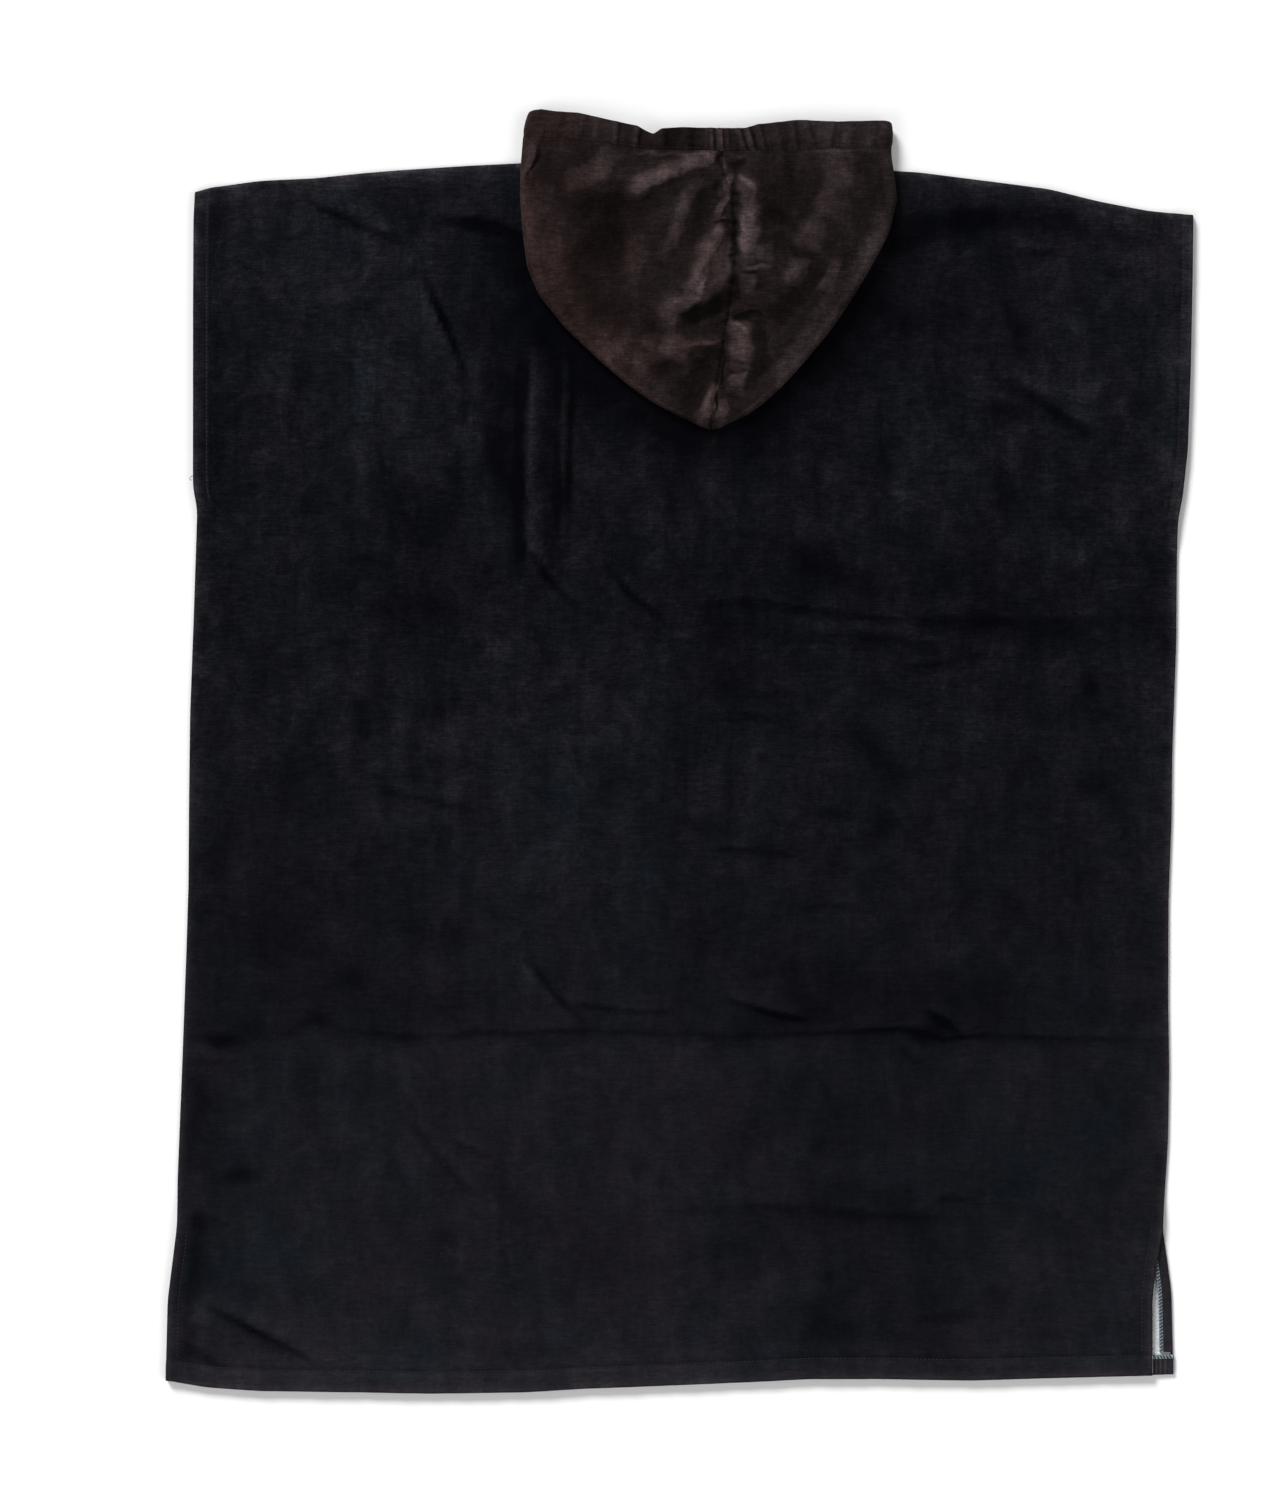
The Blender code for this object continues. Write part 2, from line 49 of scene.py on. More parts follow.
LEFT_SIDE = (
    # place                   y        x
    ("shoulder corner",      504.0,  -437.2),
    ("below the corner",     480.0,  -438.5),
    ("armhole, upper half",  407.0,  -438.9),
    ("armhole end",          238.0,  -439.0),
    ("side seam, top",       220.0,  -435.3),
    ("side seam, upper",     130.0,  -438.3),
    ("swelling out",          35.0,  -441.8),
    ("side seam, middle",    -43.0,  -442.8),
    ("drawn in a little",   -120.0,  -443.3),
    ("below it",            -180.0,  -445.2),
    ("side seam, low",      -286.0,  -449.1),
    ("above the slit",      -385.0,  -453.1),
    ("slit top",            -428.0,  -453.5),
    ("slit, spread",        -493.0,  -461.7),
    ("hem corner",          -565.0,  -463.6),
)
RIGHT_SIDE_BACK = (
    # place                   y        x
    ("shoulder corner",      482.4,   461.8),
    ("armhole, upper half",  430.0,   461.2),
    ("armhole, lower half",  345.0,   459.5),
    ("armhole, low",         272.0,   456.8),
    ("armhole end",          228.0,   452.0),
    ("side seam, top",       210.0,   448.1),
    ("drawn in there",       165.0,   447.2),
    ("side seam, upper",     100.0,   446.8),
    ("side seam, middle",      0.0,   443.2),
    ("swelling out",         -60.0,   442.5),
    ("drawn in a little",   -135.0,   439.8),
    ("side seam, low",      -223.0,   439.5),
    ("swelling out again",  -285.0,   440.4),
    ("above the slit",      -350.0,   439.4),
    ("slit top",            -415.0,   435.3),
    ("slit, opening",       -428.0,   434.6),
    ("slit, drawn in",      -466.0,   428.0),
    ("slit, straight",      -492.0,   425.0),
    ("hem corner",          -560.7,   425.0),
)
SHOULDER_LINE = (
    # place                   x        y
    ("left corner",         -437.2,   503.6),
    ("left, rounded off",   -426.0,   508.0),
    ("left, outer",         -378.5,   514.6),
    ("left, dipping",       -330.0,   516.8),
    ("left, rising",        -288.0,   521.2),
    ("left, middle",        -252.5,   524.2),
    ("left, at the hood",   -190.0,   528.2),
    ("left neck point",     -112.0,   532.0),
    ("right neck point",     162.0,   525.0),
    ("right, at the hood",   215.0,   522.2),
    ("right, middle",        262.0,   516.2),
    ("right, sloping",       296.6,   511.8),
    ("right, lifted",        332.6,   507.0),
    ("right, outer",         377.6,   495.8),
    ("right, low",           422.0,   487.4),
    ("right corner",         461.8,   483.6),
)
HEM_LINE = (
    # place                   x        y
    ("left corner",         -463.0,  -565.8),
    ("left, hanging",       -426.0,  -572.2),
    ("left",                -378.5,  -575.4),
    ("left, straight",      -290.0,  -576.6),
    ("lowest",              -225.5,  -577.8),
    ("after it",            -140.0,  -576.6),
    ("left of middle",       -88.0,  -573.4),
    ("middle",               -27.5,  -571.2),
    ("right of middle",       71.6,  -567.0),
    ("lifted",               115.0,  -564.7),
    ("level",                180.0,  -564.6),
    ("right, hanging",       260.0,  -566.0),
    ("right",                332.6,  -563.8),
    ("back corner",          425.0,  -561.5),
    ("front corner",         444.0,  -560.8),
)
NECK_X = 25.0
NECK_HALF_WIDTH = 137.0
BACK_NECK_DROP = 16.0
PANEL_LENGTH = 1060.0
PANEL_WIDTH = 899.0
BEND_SOFTNESS = 7.0  # how far the outline's bends are rounded off

HEM_DEPTH = 18.0
TURNING = 12.0  # depth of the armhole hems and of the slit turnings
HEM_STITCH, SLIT_STITCH = 16.5, 8.0  # how far in from its edge each is sewn
ARMHOLE_STITCHES = (10.4, 6.7)  # the same for the left and the right armhole
SLIT_LENGTH = 135.0
ARMHOLE_START = 782.0  # from the bottom edge
FOLD_RADIUS = 2.15  # outside of a turned edge: two layers of cloth and the gap
SEAM_RADIUS = 1.2
SEAM_HEIGHTS = {-1: 2.35, 1: 2.05}  # where the edge of a panel turned down, or up, ends in a seam
FOLD_TURNS = np.radians((30, 60, 90, 120, 150, 180))
SEAM_TURNS = FOLD_TURNS[:4]
TURN_FADE = 8.0  # along a side, from turned in to seamed
NECK_EASE = (-4.0, 12.0)  # from a neck point, where the shoulder seam gives way to the neckline
UNDER_CELLS = 4  # across what is turned in

BACK_COLUMNS = 236
BACK_ROWS = 284
COLUMN_CROWDING = (
    # distance from the left edge, spread, how much closer together
    (9.0,    5.0, 1.6),
    (318.0, 40.0, 0.7),
    (890.0,  5.0, 1.6),
)
ROW_CROWDING = (
    # distance from the bottom edge, spread, how much closer together
    (17.0,    5.0, 2.0),
    (316.0,  22.0, 1.0),
    (1050.0,  8.0, 1.4),
)

BACK_FOLDS = (
    # fold, height, width to its left, width to its right, line from start to end
    ("packing crease, left", 1.1, 15, 4,
     ((-326, -243), (-257, -253), (-207, -254), (-185, -249), (-153, -251), (-108, -248),
      (-27, -250), (36, -252))),
    ("packing crease, right", 1.2, 15, 4,
     ((18, -252), (72, -253), (153, -249), (202, -246), (238, -256), (274, -252), (333, -255),
      (432, -257), (459, -257))),
    ("crease at the left edge", 1.2, 9, 5, ((-450, -274), (-423, -276), (-400, -274))),
    ("tuck above the crease, left", 1.3, 8, 4,
     ((-108, -223), (-72, -227), (-36, -232), (-5, -231))),
    ("tuck above the crease, middle", 1.8, 9, 4, ((40, -220), (81, -232), (118, -240))),
    ("fold running into the crease", 2.3, 4, 11,
     ((-152, -187), (-135, -194), (-122, -212), (-107, -230), (-83, -250))),
    ("crossing fold", 2.3, 8, 5, ((222, -229), (240, -240), (259, -256))),
    ("short fold under it", 1.8, 7, 4, ((197, -262), (208, -270), (220, -281))),
    ("corner fold, sharp", 4.0, 11, 5, ((-430, -494), (-396, -510), (-362, -528), (-322, -549))),
    ("corner fold, soft", 1.8, 9, 7, ((-448, -524), (-428, -538), (-405, -553))),
    ("low fold, left", 1.5, 9, 5,
     ((-238, -315), (-234, -336), (-221, -356), (-203, -378), (-176, -405))),
    ("branch of it", 1.4, 7, 5, ((-206, -347), (-185, -356), (-162, -364))),
    ("lower end of it", 1.2, 6, 5,
     ((-162, -385), (-157, -412), (-157, -439), (-152, -466), (-143, -489))),
    ("sleeve fold, left", 4.4, 5, 11, ((-234, 426), (-224, 402), (-210, 370), (-196, 336))),
    ("shoulder fold, left", 3.0, 12, 6, ((-334, 499), (-302, 485), (-275, 473), (-243, 462))),
    ("shoulder seam, left", 1.8, 3, 5, ((-330, 508), (-252, 518), (-200, 515), (-140, 504))),
    ("shoulder roll, right", 1.2, 24, 15,
     ((190, 484), (240, 491), (300, 493), (345, 490), (388, 478), (430, 465), (458, 470))),
    ("shoulder fold, to the hood", 2.2, 10, 8,
     ((-220, 484), (-189, 482), (-162, 477), (-135, 468))),
    ("short fold below it", 1.2, 7, 5, ((-337, 403), (-302, 403), (-267, 412))),
    ("drape beside the hood", 4.4, 11, 9, ((-134, 362), (-136, 317), (-138, 245), (-137, 156))),
    ("drape right of it", 2.4, 6, 6, ((-103, 360), (-105, 281), (-106, 190))),
    ("drape left of it", 1.6, 12, 9, ((-180, 380), (-191, 290), (-197, 209))),
    ("drape far left", 1.2, 14, 10, ((-288, 479), (-291, 335), (-289, 191))),
    ("end of the drapes, left", 2.0, 7, 5, ((-139, 193), (-116, 158), (-90, 133))),
    ("end of the drapes, right", 2.0, 8, 5, ((-67, 176), (-45, 146), (-15, 124))),
    ("dent below them", -1.8, 8, 8, ((-128, 101), (-121, 85))),
    ("middle fold, right", 1.1, 12, 5, ((12, 136), (72, 139), (117, 131), (180, 123), (252, 122))),
    ("middle fold, fading out", 0.5, 12, 6, ((243, 122), (342, 122), (445, 125))),
    ("fold below the middle one", 1.0, 12, 7, ((103, 107), (153, 112), (202, 104), (234, 95))),
    ("last of the middle folds", 1.4, 9, 6, ((193, 79), (229, 83), (270, 90))),
    ("low middle fold", 1.0, 8, 6, ((16, 35), (54, 37), (93, 35))),
    ("crease down the middle", 1.0, 4, 4, ((0, 56), (1, -25), (0, -104))),
    ("second crease down", 0.8, 4, 4, ((41, 47), (42, -25), (40, -97))),
    ("hollow, left", -1.6, 14, 14, ((-267, 50), (-265, -25), (-268, -99))),
    ("hollow beside it", -1.4, 12, 12, ((-216, 58), (-217, -25), (-215, -108))),
    ("tuck across the hollows", 1.6, 8, 5, ((-274, -28), (-243, -37), (-213, -44), (-175, -49))),
    ("small tuck, middle left", 1.2, 6, 4, ((-98, -66), (-81, -69), (-63, -71))),
    ("small tuck, middle", 1.2, 6, 4, ((18, -85), (49, -84), (82, -88), (121, -94))),
    ("small tuck, right", 1.0, 6, 4, ((104, -136), (135, -135), (167, -138))),
    ("light fold, top right", 2.6, 10, 9, ((282, 344), (315, 330), (342, 310), (376, 290))),
    ("small tuck under the shoulder", 1.4, 6, 4, ((300, 454), (319, 453), (340, 453))),
    ("low tuck, right", 1.2, 6, 4, ((228, -400), (247, -398), (271, -402))),
    ("faint low crease", 0.9, 10, 6, ((-27, -409), (72, -405), (180, -414), (291, -418))),
)
RIPPLES = (
    # height, length across, length up, start
    (0.45, 210.0,  340.0, 0.3),
    (0.35, 131.0, -190.0, 1.9),
    (0.25,  83.0,  260.0, 4.1),
    (0.20, -61.0,   97.0, 2.2),
)
FOLD_STRENGTH = 1.25  # on the heights of the folds above
RELIEF_LIFT = 0.9  # holds the hollows clear of the front
RELIEF_SOFTNESS = 0.25
THROAT_LIFT = 2.6  # where the back rides over the hood's throat casing, and how high
THROAT_LIFT_ACROSS = ((-110.0, -70.0), (120.0, 160.0))
THROAT_LIFT_UP = (385.0, 420.0)
TURNING_FADE = 26.0  # from the side, where the cloth lies down again beside the turnings
HEM_FADE = 32.0  # the same from the bottom edge
SPAN_FADE = 32.0  # and past the ends of the slits and armholes
EDGE_FLAT, HEM_FLAT = 14.0, 30.0  # the folds die away so near the sides and the bottom edge
HEM_PUFF, HEM_WAVE = 0.6, 0.45  # swelling and unevenness beside the hem's stitching
HEM_WAVE_FADE = (14.0, 30.0)  # how far up the unevenness dies away
SIDE_PUFF, SIDE_WAVE = 0.4, 0.25  # the same beside the turnings' stitching
SIDE_WAVE_FADE = (9.0, 20.0)
HEM_GROOVE, SIDE_GROOVE = (2.4, 1.0), (2.2, 0.9)  # widths and depths of the stitching's grooves

STEEP_PAINTED_SHADE = 0.34  # painted shade on the steep side of each millimetre of fold
SLOW_PAINTED_LIGHT = 0.16  # and a painted highlight on its slow side
LEFT_RIM, RIGHT_RIM = 0.88, 1.28  # how light the painted highlight along the sides is
RIM_TURN = (-8.0, 8.0)  # at a corner, from the side's rim to the end's
ARMHOLE_RIM = (-8.0, 12.0)  # from the armhole's foot up, where its own rim and stitching begin
ARMHOLE_RIM_LOSS, END_RIM_LOSS = 0.28, 0.3  # less of it at the left armhole, and at the upper right
RIM_FALL = ((1.1, 4.0), (0.34, 15.0))  # shares of that, and how far in each dies away
EDGE_LIGHT = (0.7, 1.5)  # painted highlight on every edge: how light, and how far in
HEM_LIGHT = (0.62, -2.0, 3.0)  # painted highlight below its stitching: amount, and where it ends
# painted highlight along the shoulders: how light, and how far down
SHOULDER_LIGHT = (0.9, 2.8)
SEAM_ALLOWANCE_LIGHT = (0.62, 9.6, 3.8)  # painted highlight over the left shoulder's allowance: amount, place, width
STITCH_LIGHT = (0.95, 1.25, 0.9)  # painted highlight on the armhole stitching: left, right, width
STITCH_GROOVE_SHADE = (0.5, 0.2, 2.6, 1.6)  # painted shade in the groove beside it: left, right, place, width
PAINTED_SHADE_AND_LIGHT_LINES = (
    # painted shadow beside the hood's edges and tip and under the shoulders, and painted highlights
    # along the shoulders and inside the right armhole and side: lighter or darker by, width to its
    # left, width to its right, line from start to end
    ("left edge", -0.80, 18, 26,
     ((-160, 500), (-150, 452), (-120, 392), (-80, 344), (-36, 306), (28, 284))),
    ("left, wide", -0.30, 40, 60, ((-160, 480), (-140, 420), (-90, 350), (-40, 302), (28, 280))),
    ("right edge", -0.75, 18, 24,
     ((28, 284), (74, 302), (116, 344), (156, 394), (190, 446), (204, 490))),
    ("right, wide", -0.30, 40, 60, ((28, 284), (80, 300), (124, 344), (170, 400), (205, 460))),
    ("tip", -0.55, 24, 40, ((-20, 290), (28, 282), (76, 292))),
    ("under the right shoulder", -0.12, 14, 30, ((196, 468), (250, 474), (310, 474), (372, 464))),
    ("under the left shoulder", -0.42, 10, 16, ((-250, 484), (-210, 484), (-150, 474))),
    ("over the left shoulder", 0.5, 7, 5, ((-330, 512), (-250, 522), (-200, 522), (-140, 514))),
    ("left shoulder, wide", 0.22, 14, 9, ((-424, 500), (-330, 508), (-250, 512), (-160, 512))),
    ("inside the right armhole", 0.42, 8, 8, ((448, 470), (446, 380), (441, 245))),
    ("inside the right side", 0.26, 10, 10, ((430, 60), (428, -60), (427, -200), (427, -370))),
    ("right shoulder, wide", 0.04, 12, 10, ((200, 512), (300, 500), (380, 486), (452, 472))),
)
PANEL_STRENGTH = 1.35
PRESSED_PANELS_AND_PAINTED_SHADOW = (
    # where packing pressed the pile, with one painted shadow beside the hood: left, right, bottom,
    # top, softness, lighter or darker by
    ("bottom, left",         -435,  115, -620, -260,  9,  0.50),
    ("bottom, right",         115,  430, -620, -260,  9,  0.14),
    ("bottom, far right",     262,  440, -620, -262, 20,  0.10),
    ("bottom strip, left",   -450,   85, -620, -505, 25,  0.24),
    ("bottom corner, right",  255,  420, -620, -440, 22,  0.20),
    ("middle, left",         -198,  -14, -255,  100, 12,  0.18),
    ("middle, left bright",  -175,  -55, -165,  -60, 20,  0.10),
    ("dark band, right",       14,  455,   96,  174, 20, -0.22),
    ("above the crease",       62,  300, -262, -196, 16, -0.26),
    ("top left",             -330, -205,  300,  485, 24,  0.28),
    ("top left corner",      -432, -330,  425,  505, 24,  0.26),
    ("left, lower sleeve",   -300, -195,  105,  245, 24, -0.14),
    ("left side",            -452, -404, -500,  400, 10, -0.08),
    ("top right",             330,  440,  380,  460, 24,  0.18),
    # painted shadow of the hood
    ("beside the hood",      -196, -148,  236,  400, 12, -0.22),
)
MARK_STRENGTH = 1.45
PILE_AND_PAINTED_LIGHT_MARKS = (
    # brushed places, with painted shade and a painted highlight at the drape beside the hood and
    # painted shade under the right shoulder: x, y, half width, half height, lighter or darker by
    # the first three: painted shade in the troughs either side of the drape beside the hood, and a
    # painted highlight on its crest
    (-118,  250, 10,  95, -0.45), (-160,  265, 12,  60, -0.40), (-136,  250,  8,  80,  0.40),
    (-192,  290,  8,  60,  0.22), (-105,  320,  6,  50,  0.30), (-292,  335, 10, 110,  0.15),
    (-402,  330, 14,  34, -0.32), (-344,  335,  8,  30, -0.22), (-355,  425, 34,  20,  0.12),
    (-250,  212, 34,  26, -0.18), (-288,  172, 26,   9, -0.30), (-172,  150, 20,  18, -0.36),
    (-228,  128, 46,  20, -0.26), (-122,   92, 10,  12, -0.45), (-320,   60, 28,  22,  0.26),
    (-213,   38, 18,  14, -0.36), (-283,   40,  9,  26, -0.30), (-266,  -28, 12,  22, -0.38),
    (-301,  -40,  9,  58,  0.18), (-214,  -44, 16,   8, -0.32), (-238,   10, 14,  26,  0.16),
    (-157,  -22,  9,  26,  0.24), (-60,   -25, 14,  20, -0.26), (-38, -120,  20,  60,  0.16),
    (-278,  -84, 12,  18, -0.24), (-212,  -84,  9,  18, -0.24), (-412,  -80, 14,  34, -0.24),
    (-365, -170, 34,  24, -0.16), (-232, -170, 26,  14, -0.20), (-300, -205, 20,  10, -0.26),
    (-412, -258, 26,   7, -0.34), (-326, -243, 12,   7, -0.36), (-430, -330, 16,  40, -0.26),
    (-392, -381, 17,   8, -0.55), (-430, -422, 14,  10, -0.45), (-395, -310, 40,  30,  0.12),
    (-340, -300, 14,  40, -0.20), (-216, -438, 16,  12, -0.32), (-158, -395,  5,  26, -0.35),
    (-80,  -452, 34,  34, -0.30), (-70,  -345, 12,  14, -0.26), (-130, -505,  9,  16, -0.30),
    (-145, -541, 30,  10, -0.34), (-160, -200, 60,  22,  0.14), (-430, -505, 14,  10,  0.50),
    (-428, -540, 20,   8, -0.36), (-28, -395,  14,  12,  0.30), (-20, -520,  18,  20,  0.18),
    (150,   112, 48,   7,  0.55), (58,    128, 34,  26, -0.22), (300,  110,  52,  22, -0.26),
    (366,    60, 12,  14, -0.38), (240,    88, 34,   7, -0.36), (60,     70, 44,  30, -0.12),
    (90,     45, 20,  10, -0.20), (178,     8, 18,  20, -0.38), (190,  -20,  18,  20, -0.24),
    (180,   -62, 14,  16, -0.40), (130,   -56, 20,   7, -0.30), (88,   -88,  38,   7, -0.24),
    (166,   -94, 14,   8,  0.45), (256,    10, 26,   8,  0.22), (370,  -30,  16,  12, -0.34),
    (372,   -96, 13,  10,  0.34), (300,  -20,  10,  26, -0.24), (262, -150,  14,  26, -0.20),
    (302,  -136, 16,  14, -0.24), (15,  -162,  14,  22, -0.28), (76,  -212,  20,  12,  0.30),
    (240,  -252, 26,  12, -0.34), (120, -240,  40,   9, -0.20), (390, -200,  44,  40,  0.10),
    (104,  -300, 10,  10, -0.20), (285, -320,  20,  30,  0.16), (372, -310,  12,  26, -0.16),
    (120,  -355, 12,  10, -0.24), (190, -372,  34,  12,  0.24), (60,  -360,   8,  40, -0.20),
    (180,  -415, 60,  18, -0.24), (110, -420,  16,  14, -0.18), (132, -475,   8,   7, -0.34),
    (140,  -515, 24,  28, -0.34), (120, -488,  12,   9,  0.30), (80,  -485,  16,  14,  0.26),
    (285,  -492, 16,  12, -0.34), (248, -510,  34,   6, -0.30), (330, -470,  40,  30,  0.12),
    (100,  -412,  8,  12, -0.24), (360, -400,  60,   8,  0.12), (20,  -445,  26,  12, -0.22),
    (240,   392, 44,  20, -0.24), (302,   384,  9,  24, -0.34), (300,  330,  40,   7,  0.30),
    (368,   328, 15,   9,  0.45), (384,   320,  8,  14, -0.28), (415,  306,  10,  14, -0.45),
    (296,   306, 18,   8, -0.32), (186,   264,  8,  26, -0.36), (195,  462,  20,  10, -0.30),
    (-429,  500,  7,   5,  0.90), (-432,  491,  4,   4,  0.60),
    (215,   290,  8,  24,  0.20), (290,   224, 20,  18, -0.24), (330,  222,  12,  16, -0.30),
    (355,   185, 20,  14,  0.24), (258,   240, 10,  26,  0.20), (345,  436,   9,  16,  0.34),
    (45,    190, 40,  20, -0.14), (440,  250,  10,  30,  0.20),
    (-412, -375, 34,  34, -0.34), (-390, -285, 55,  45, -0.24), (-300, -310, 30,  30, -0.14),
    # the mark at (248, 474) on the next line is painted shade under the right shoulder
    (-230,  -12, 26,  26, -0.24), (-172,  290, 24,  30,  0.28), (248,  474,  40,  24, -0.40),
    (285,   400, 60,  50, -0.14), (385,   300, 50,  40,  0.18), (430,  420,  20,  40,  0.16),
    (-50,   140, 40,  45, -0.24), (130,   170, 34,  26, -0.34), (250,  112,  34,  20, -0.18),
    (0,      60, 60,  40, -0.16), (372,    48, 34,  26, -0.18), (85,  -320,  65,  60, -0.28),
    (66,   -435, 45,  45, -0.44), (75,   -545, 45,  40, -0.28), (428, -345,  20,  50,  0.22),
    (-290, -550, 90,  22,  0.20), (-300, -440, 50,  40,  0.14), (-415, 350,  26,  34,  0.22),
    (-320,  412, 60,  34,  0.14), (-288,  292, 26,  28,  0.24), (-350, 230,  34,  26, -0.16),
    (-290,  112, 30,  26,  0.18), (-232, -190, 30,  26,  0.20), (280, -190,  50,  24,  0.18),
)
WARMTH = (
    # where the dye has turned to a warmer or a cooler black: x, y, half width, half height, by
    (-60,  -400, 150, 130,  0.085), (-350, -165,  60,  50,  0.085), (240,  420, 110,  70,  0.075),
    (260,   130, 120,  60,  0.035), (-30,   250, 110,  60,  0.050), (-350, 270, 100, 190, -0.060),
    (60,    -20, 260,  60, -0.055), (270,  -380, 120, 140, -0.050), (-390, -450, 60,  80, -0.045),
)


def through(table, softness=BEND_SOFTNESS):
    """A line through a table's places: its last column at any value of the one before it."""
    at_rows, values = np.array(sorted(row[1:3] for row in table)).T

    def value(at):
        steps = np.linspace(-softness, softness, 7)
        return sum(np.interp(at + step, at_rows, values) for step in steps) / len(steps)

    return value


def rise(at, start, end):
    """0 up to start and 1 from end on, with a soft slope between them."""
    t = np.clip((at - start) / (end - start), 0.0, 1.0)
    return t * t * (3 - 2 * t)


def spaced(length, cells, crowding=()):
    """cells + 1 distances from 0 to length, closer together at the places in crowding."""
    at = np.linspace(0.0, length, 4001)
    crowded = sum(much * bell(at - place, spread) for place, spread, much in crowding)
    density = np.ones_like(at) + crowded
    total = np.concatenate(((0.0,), np.cumsum((density[1:] + density[:-1]) / 2)))
    return np.interp(np.linspace(0.0, total[-1], cells + 1), total, at)


def bell(off, width):
    """1 at no distance, falling softly to nothing past the width."""
    return np.exp(-((off / width) ** 2))


def groove(distance, width, depth):
    """A stitched line's groove, at so many millimetres from it."""
    return -depth * bell(distance, width)


left_x = through(LEFT_SIDE)
right_x_back = through(RIGHT_SIDE_BACK)
shoulder_y = through(SHOULDER_LINE)
hem_y = through(HEM_LINE)


def neckline_y(x, drop):
    """y of a panel's top edge: the shoulder line, scooped out between the neck points."""
    inside = 1 - ((x - NECK_X) / NECK_HALF_WIDTH) ** 2
    return shoulder_y(x) - drop * np.sqrt(np.clip(inside, 0.0, 1.0))


def along_lines(rows, x, y, profile):
    """Sum over the rows of amount times profile, which fades out at the ends of each line.

    profile is given the distance from the line, its width on that side, and whether that side is
    the narrow one.
    """
    total = np.zeros_like(x)
    for _, amount, left, right, line in rows:
        line = np.array(line, float)
        lengths = np.linalg.norm(np.diff(line, axis=0), axis=1)
        runs = np.concatenate(((0.0,), np.cumsum(lengths)))
        reach = 3 * max(left, right)
        near = (x > line[:, 0].min() - reach) & (x < line[:, 0].max() + reach)
        near &= (y > line[:, 1].min() - reach) & (y < line[:, 1].max() + reach)
        px, py = x[near], y[near]
        nearest = np.full(px.shape, np.inf)
        side = np.zeros(px.shape)
        run = np.zeros(px.shape)
        for (x0, y0), (x1, y1), length, start in zip(line, line[1:], lengths, runs):
            dx, dy = x1 - x0, y1 - y0
            t = np.clip(((px - x0) * dx + (py - y0) * dy) / length ** 2, 0.0, 1.0)
            away = np.hypot(px - x0 - t * dx, py - y0 - t * dy)
            closer = away < nearest
            nearest = np.where(closer, away, nearest)
            side = np.where(closer, dx * (py - y0) - dy * (px - x0), side)
            run = np.where(closer, start + t * length, run)
        width = np.where(side > 0, left, right)
        uneven = 1 + 0.2 * np.sin(run / 11 + line[0, 0]) + 0.12 * np.sin(run / 4.3 + line[0, 1])
        ends = np.sqrt(np.sin(math.pi * np.clip(run / runs[-1], 0.0, 1.0)))
        total[near] += amount * profile(nearest, width, width == min(left, right)) * ends * uneven
    return total


def soft_lines(rows, x, y):
    """Soft ridges and troughs, or painted light and shade, each along its line."""
    return along_lines(rows, x, y, lambda away, width, narrow: bell(away, width))


def painted_fold_shading(folds, x, y):
    """Painted shade down the steep side of a fold, and a painted highlight on its slow side."""
    def profile(away, width, narrow):
        dark = STEEP_PAINTED_SHADE * bell(away - 0.8 * width, 0.7 * width)
        light = SLOW_PAINTED_LIGHT * bell(away - 0.3 * width, 0.7 * width)
        return np.where(narrow, -dark, light)

    return along_lines(folds, x, y, profile)


def ripple_relief(x, y):
    """Long low waves that the whole panel lies in."""
    return sum(
        height * np.sin(2 * math.pi * (x / across + y / up) + start)
        for height, across, up, start in RIPPLES
    )


def back_relief(x, y):
    """Folds and ripples of the back, which rest on the front where they are lowest."""
    lift = FOLD_STRENGTH * soft_lines(BACK_FOLDS, x, y) + ripple_relief(x, y) + RELIEF_LIFT
    return (lift + np.hypot(lift, RELIEF_SOFTNESS)) / 2


def from_edges(u, v):
    """Distances from the nearest side, the bottom edge, the top edge and the nearest edge."""
    in_from_side, up = np.minimum(u, 1 - u) * PANEL_WIDTH, v * PANEL_LENGTH
    top = PANEL_LENGTH - up
    return in_from_side, up, top, np.minimum(in_from_side, np.minimum(up, top))


def turned_share(u, v):
    """1 where two turned-in layers lie between the panels and 0 where there are none."""
    in_from_side, up = from_edges(u, v)[:2]
    hem = 1 - rise(up, HEM_DEPTH, HEM_FADE)
    edge = 1 - rise(in_from_side, TURNING, TURNING_FADE)
    slit = 1 - rise(up, SLIT_LENGTH, SLIT_LENGTH + SPAN_FADE)
    armhole = rise(up, ARMHOLE_START - SPAN_FADE, ARMHOLE_START)
    return np.maximum(hem, edge * np.maximum(slit, armhole))


def throat_lift(x, y):
    """How far the hood's throat holds the back up, between the panels below the neckline."""
    left, right = THROAT_LIFT_ACROSS
    return THROAT_LIFT * rise(x, *left) * (1 - rise(x, *right)) * rise(y, *THROAT_LIFT_UP)


def side_stitch(u, up):
    """How far in from the side the stitching runs, at so far up from the bottom edge."""
    armhole = np.where(u < 0.5, *ARMHOLE_STITCHES)
    return np.where(up > ARMHOLE_START - SPAN_FADE, armhole, SLIT_STITCH)


def stitched_relief(u, v):
    """Grooves along the hem's and the turnings' stitching, with the cloth swelling beside them."""
    in_from_side, up = from_edges(u, v)[:2]
    turned = np.maximum(up < SLIT_LENGTH, up > ARMHOLE_START)
    hem = HEM_PUFF * np.sin(math.pi * np.clip(up / HEM_STITCH, 0, 1))
    hem_wave = np.sin(u * 151 + up / 5) * np.sin(u * 67 + 1) * (1 - rise(up, *HEM_WAVE_FADE))
    side = SIDE_PUFF * np.sin(math.pi * np.clip(in_from_side / TURNING, 0, 1))
    side_wave = np.sin(v * 173) * np.sin(v * 61) * (1 - rise(in_from_side, *SIDE_WAVE_FADE))
    side = side + SIDE_WAVE * side_wave + groove(in_from_side - side_stitch(u, up), *SIDE_GROOVE)
    return groove(up - HEM_STITCH, *HEM_GROOVE) + hem + HEM_WAVE * hem_wave + side * turned


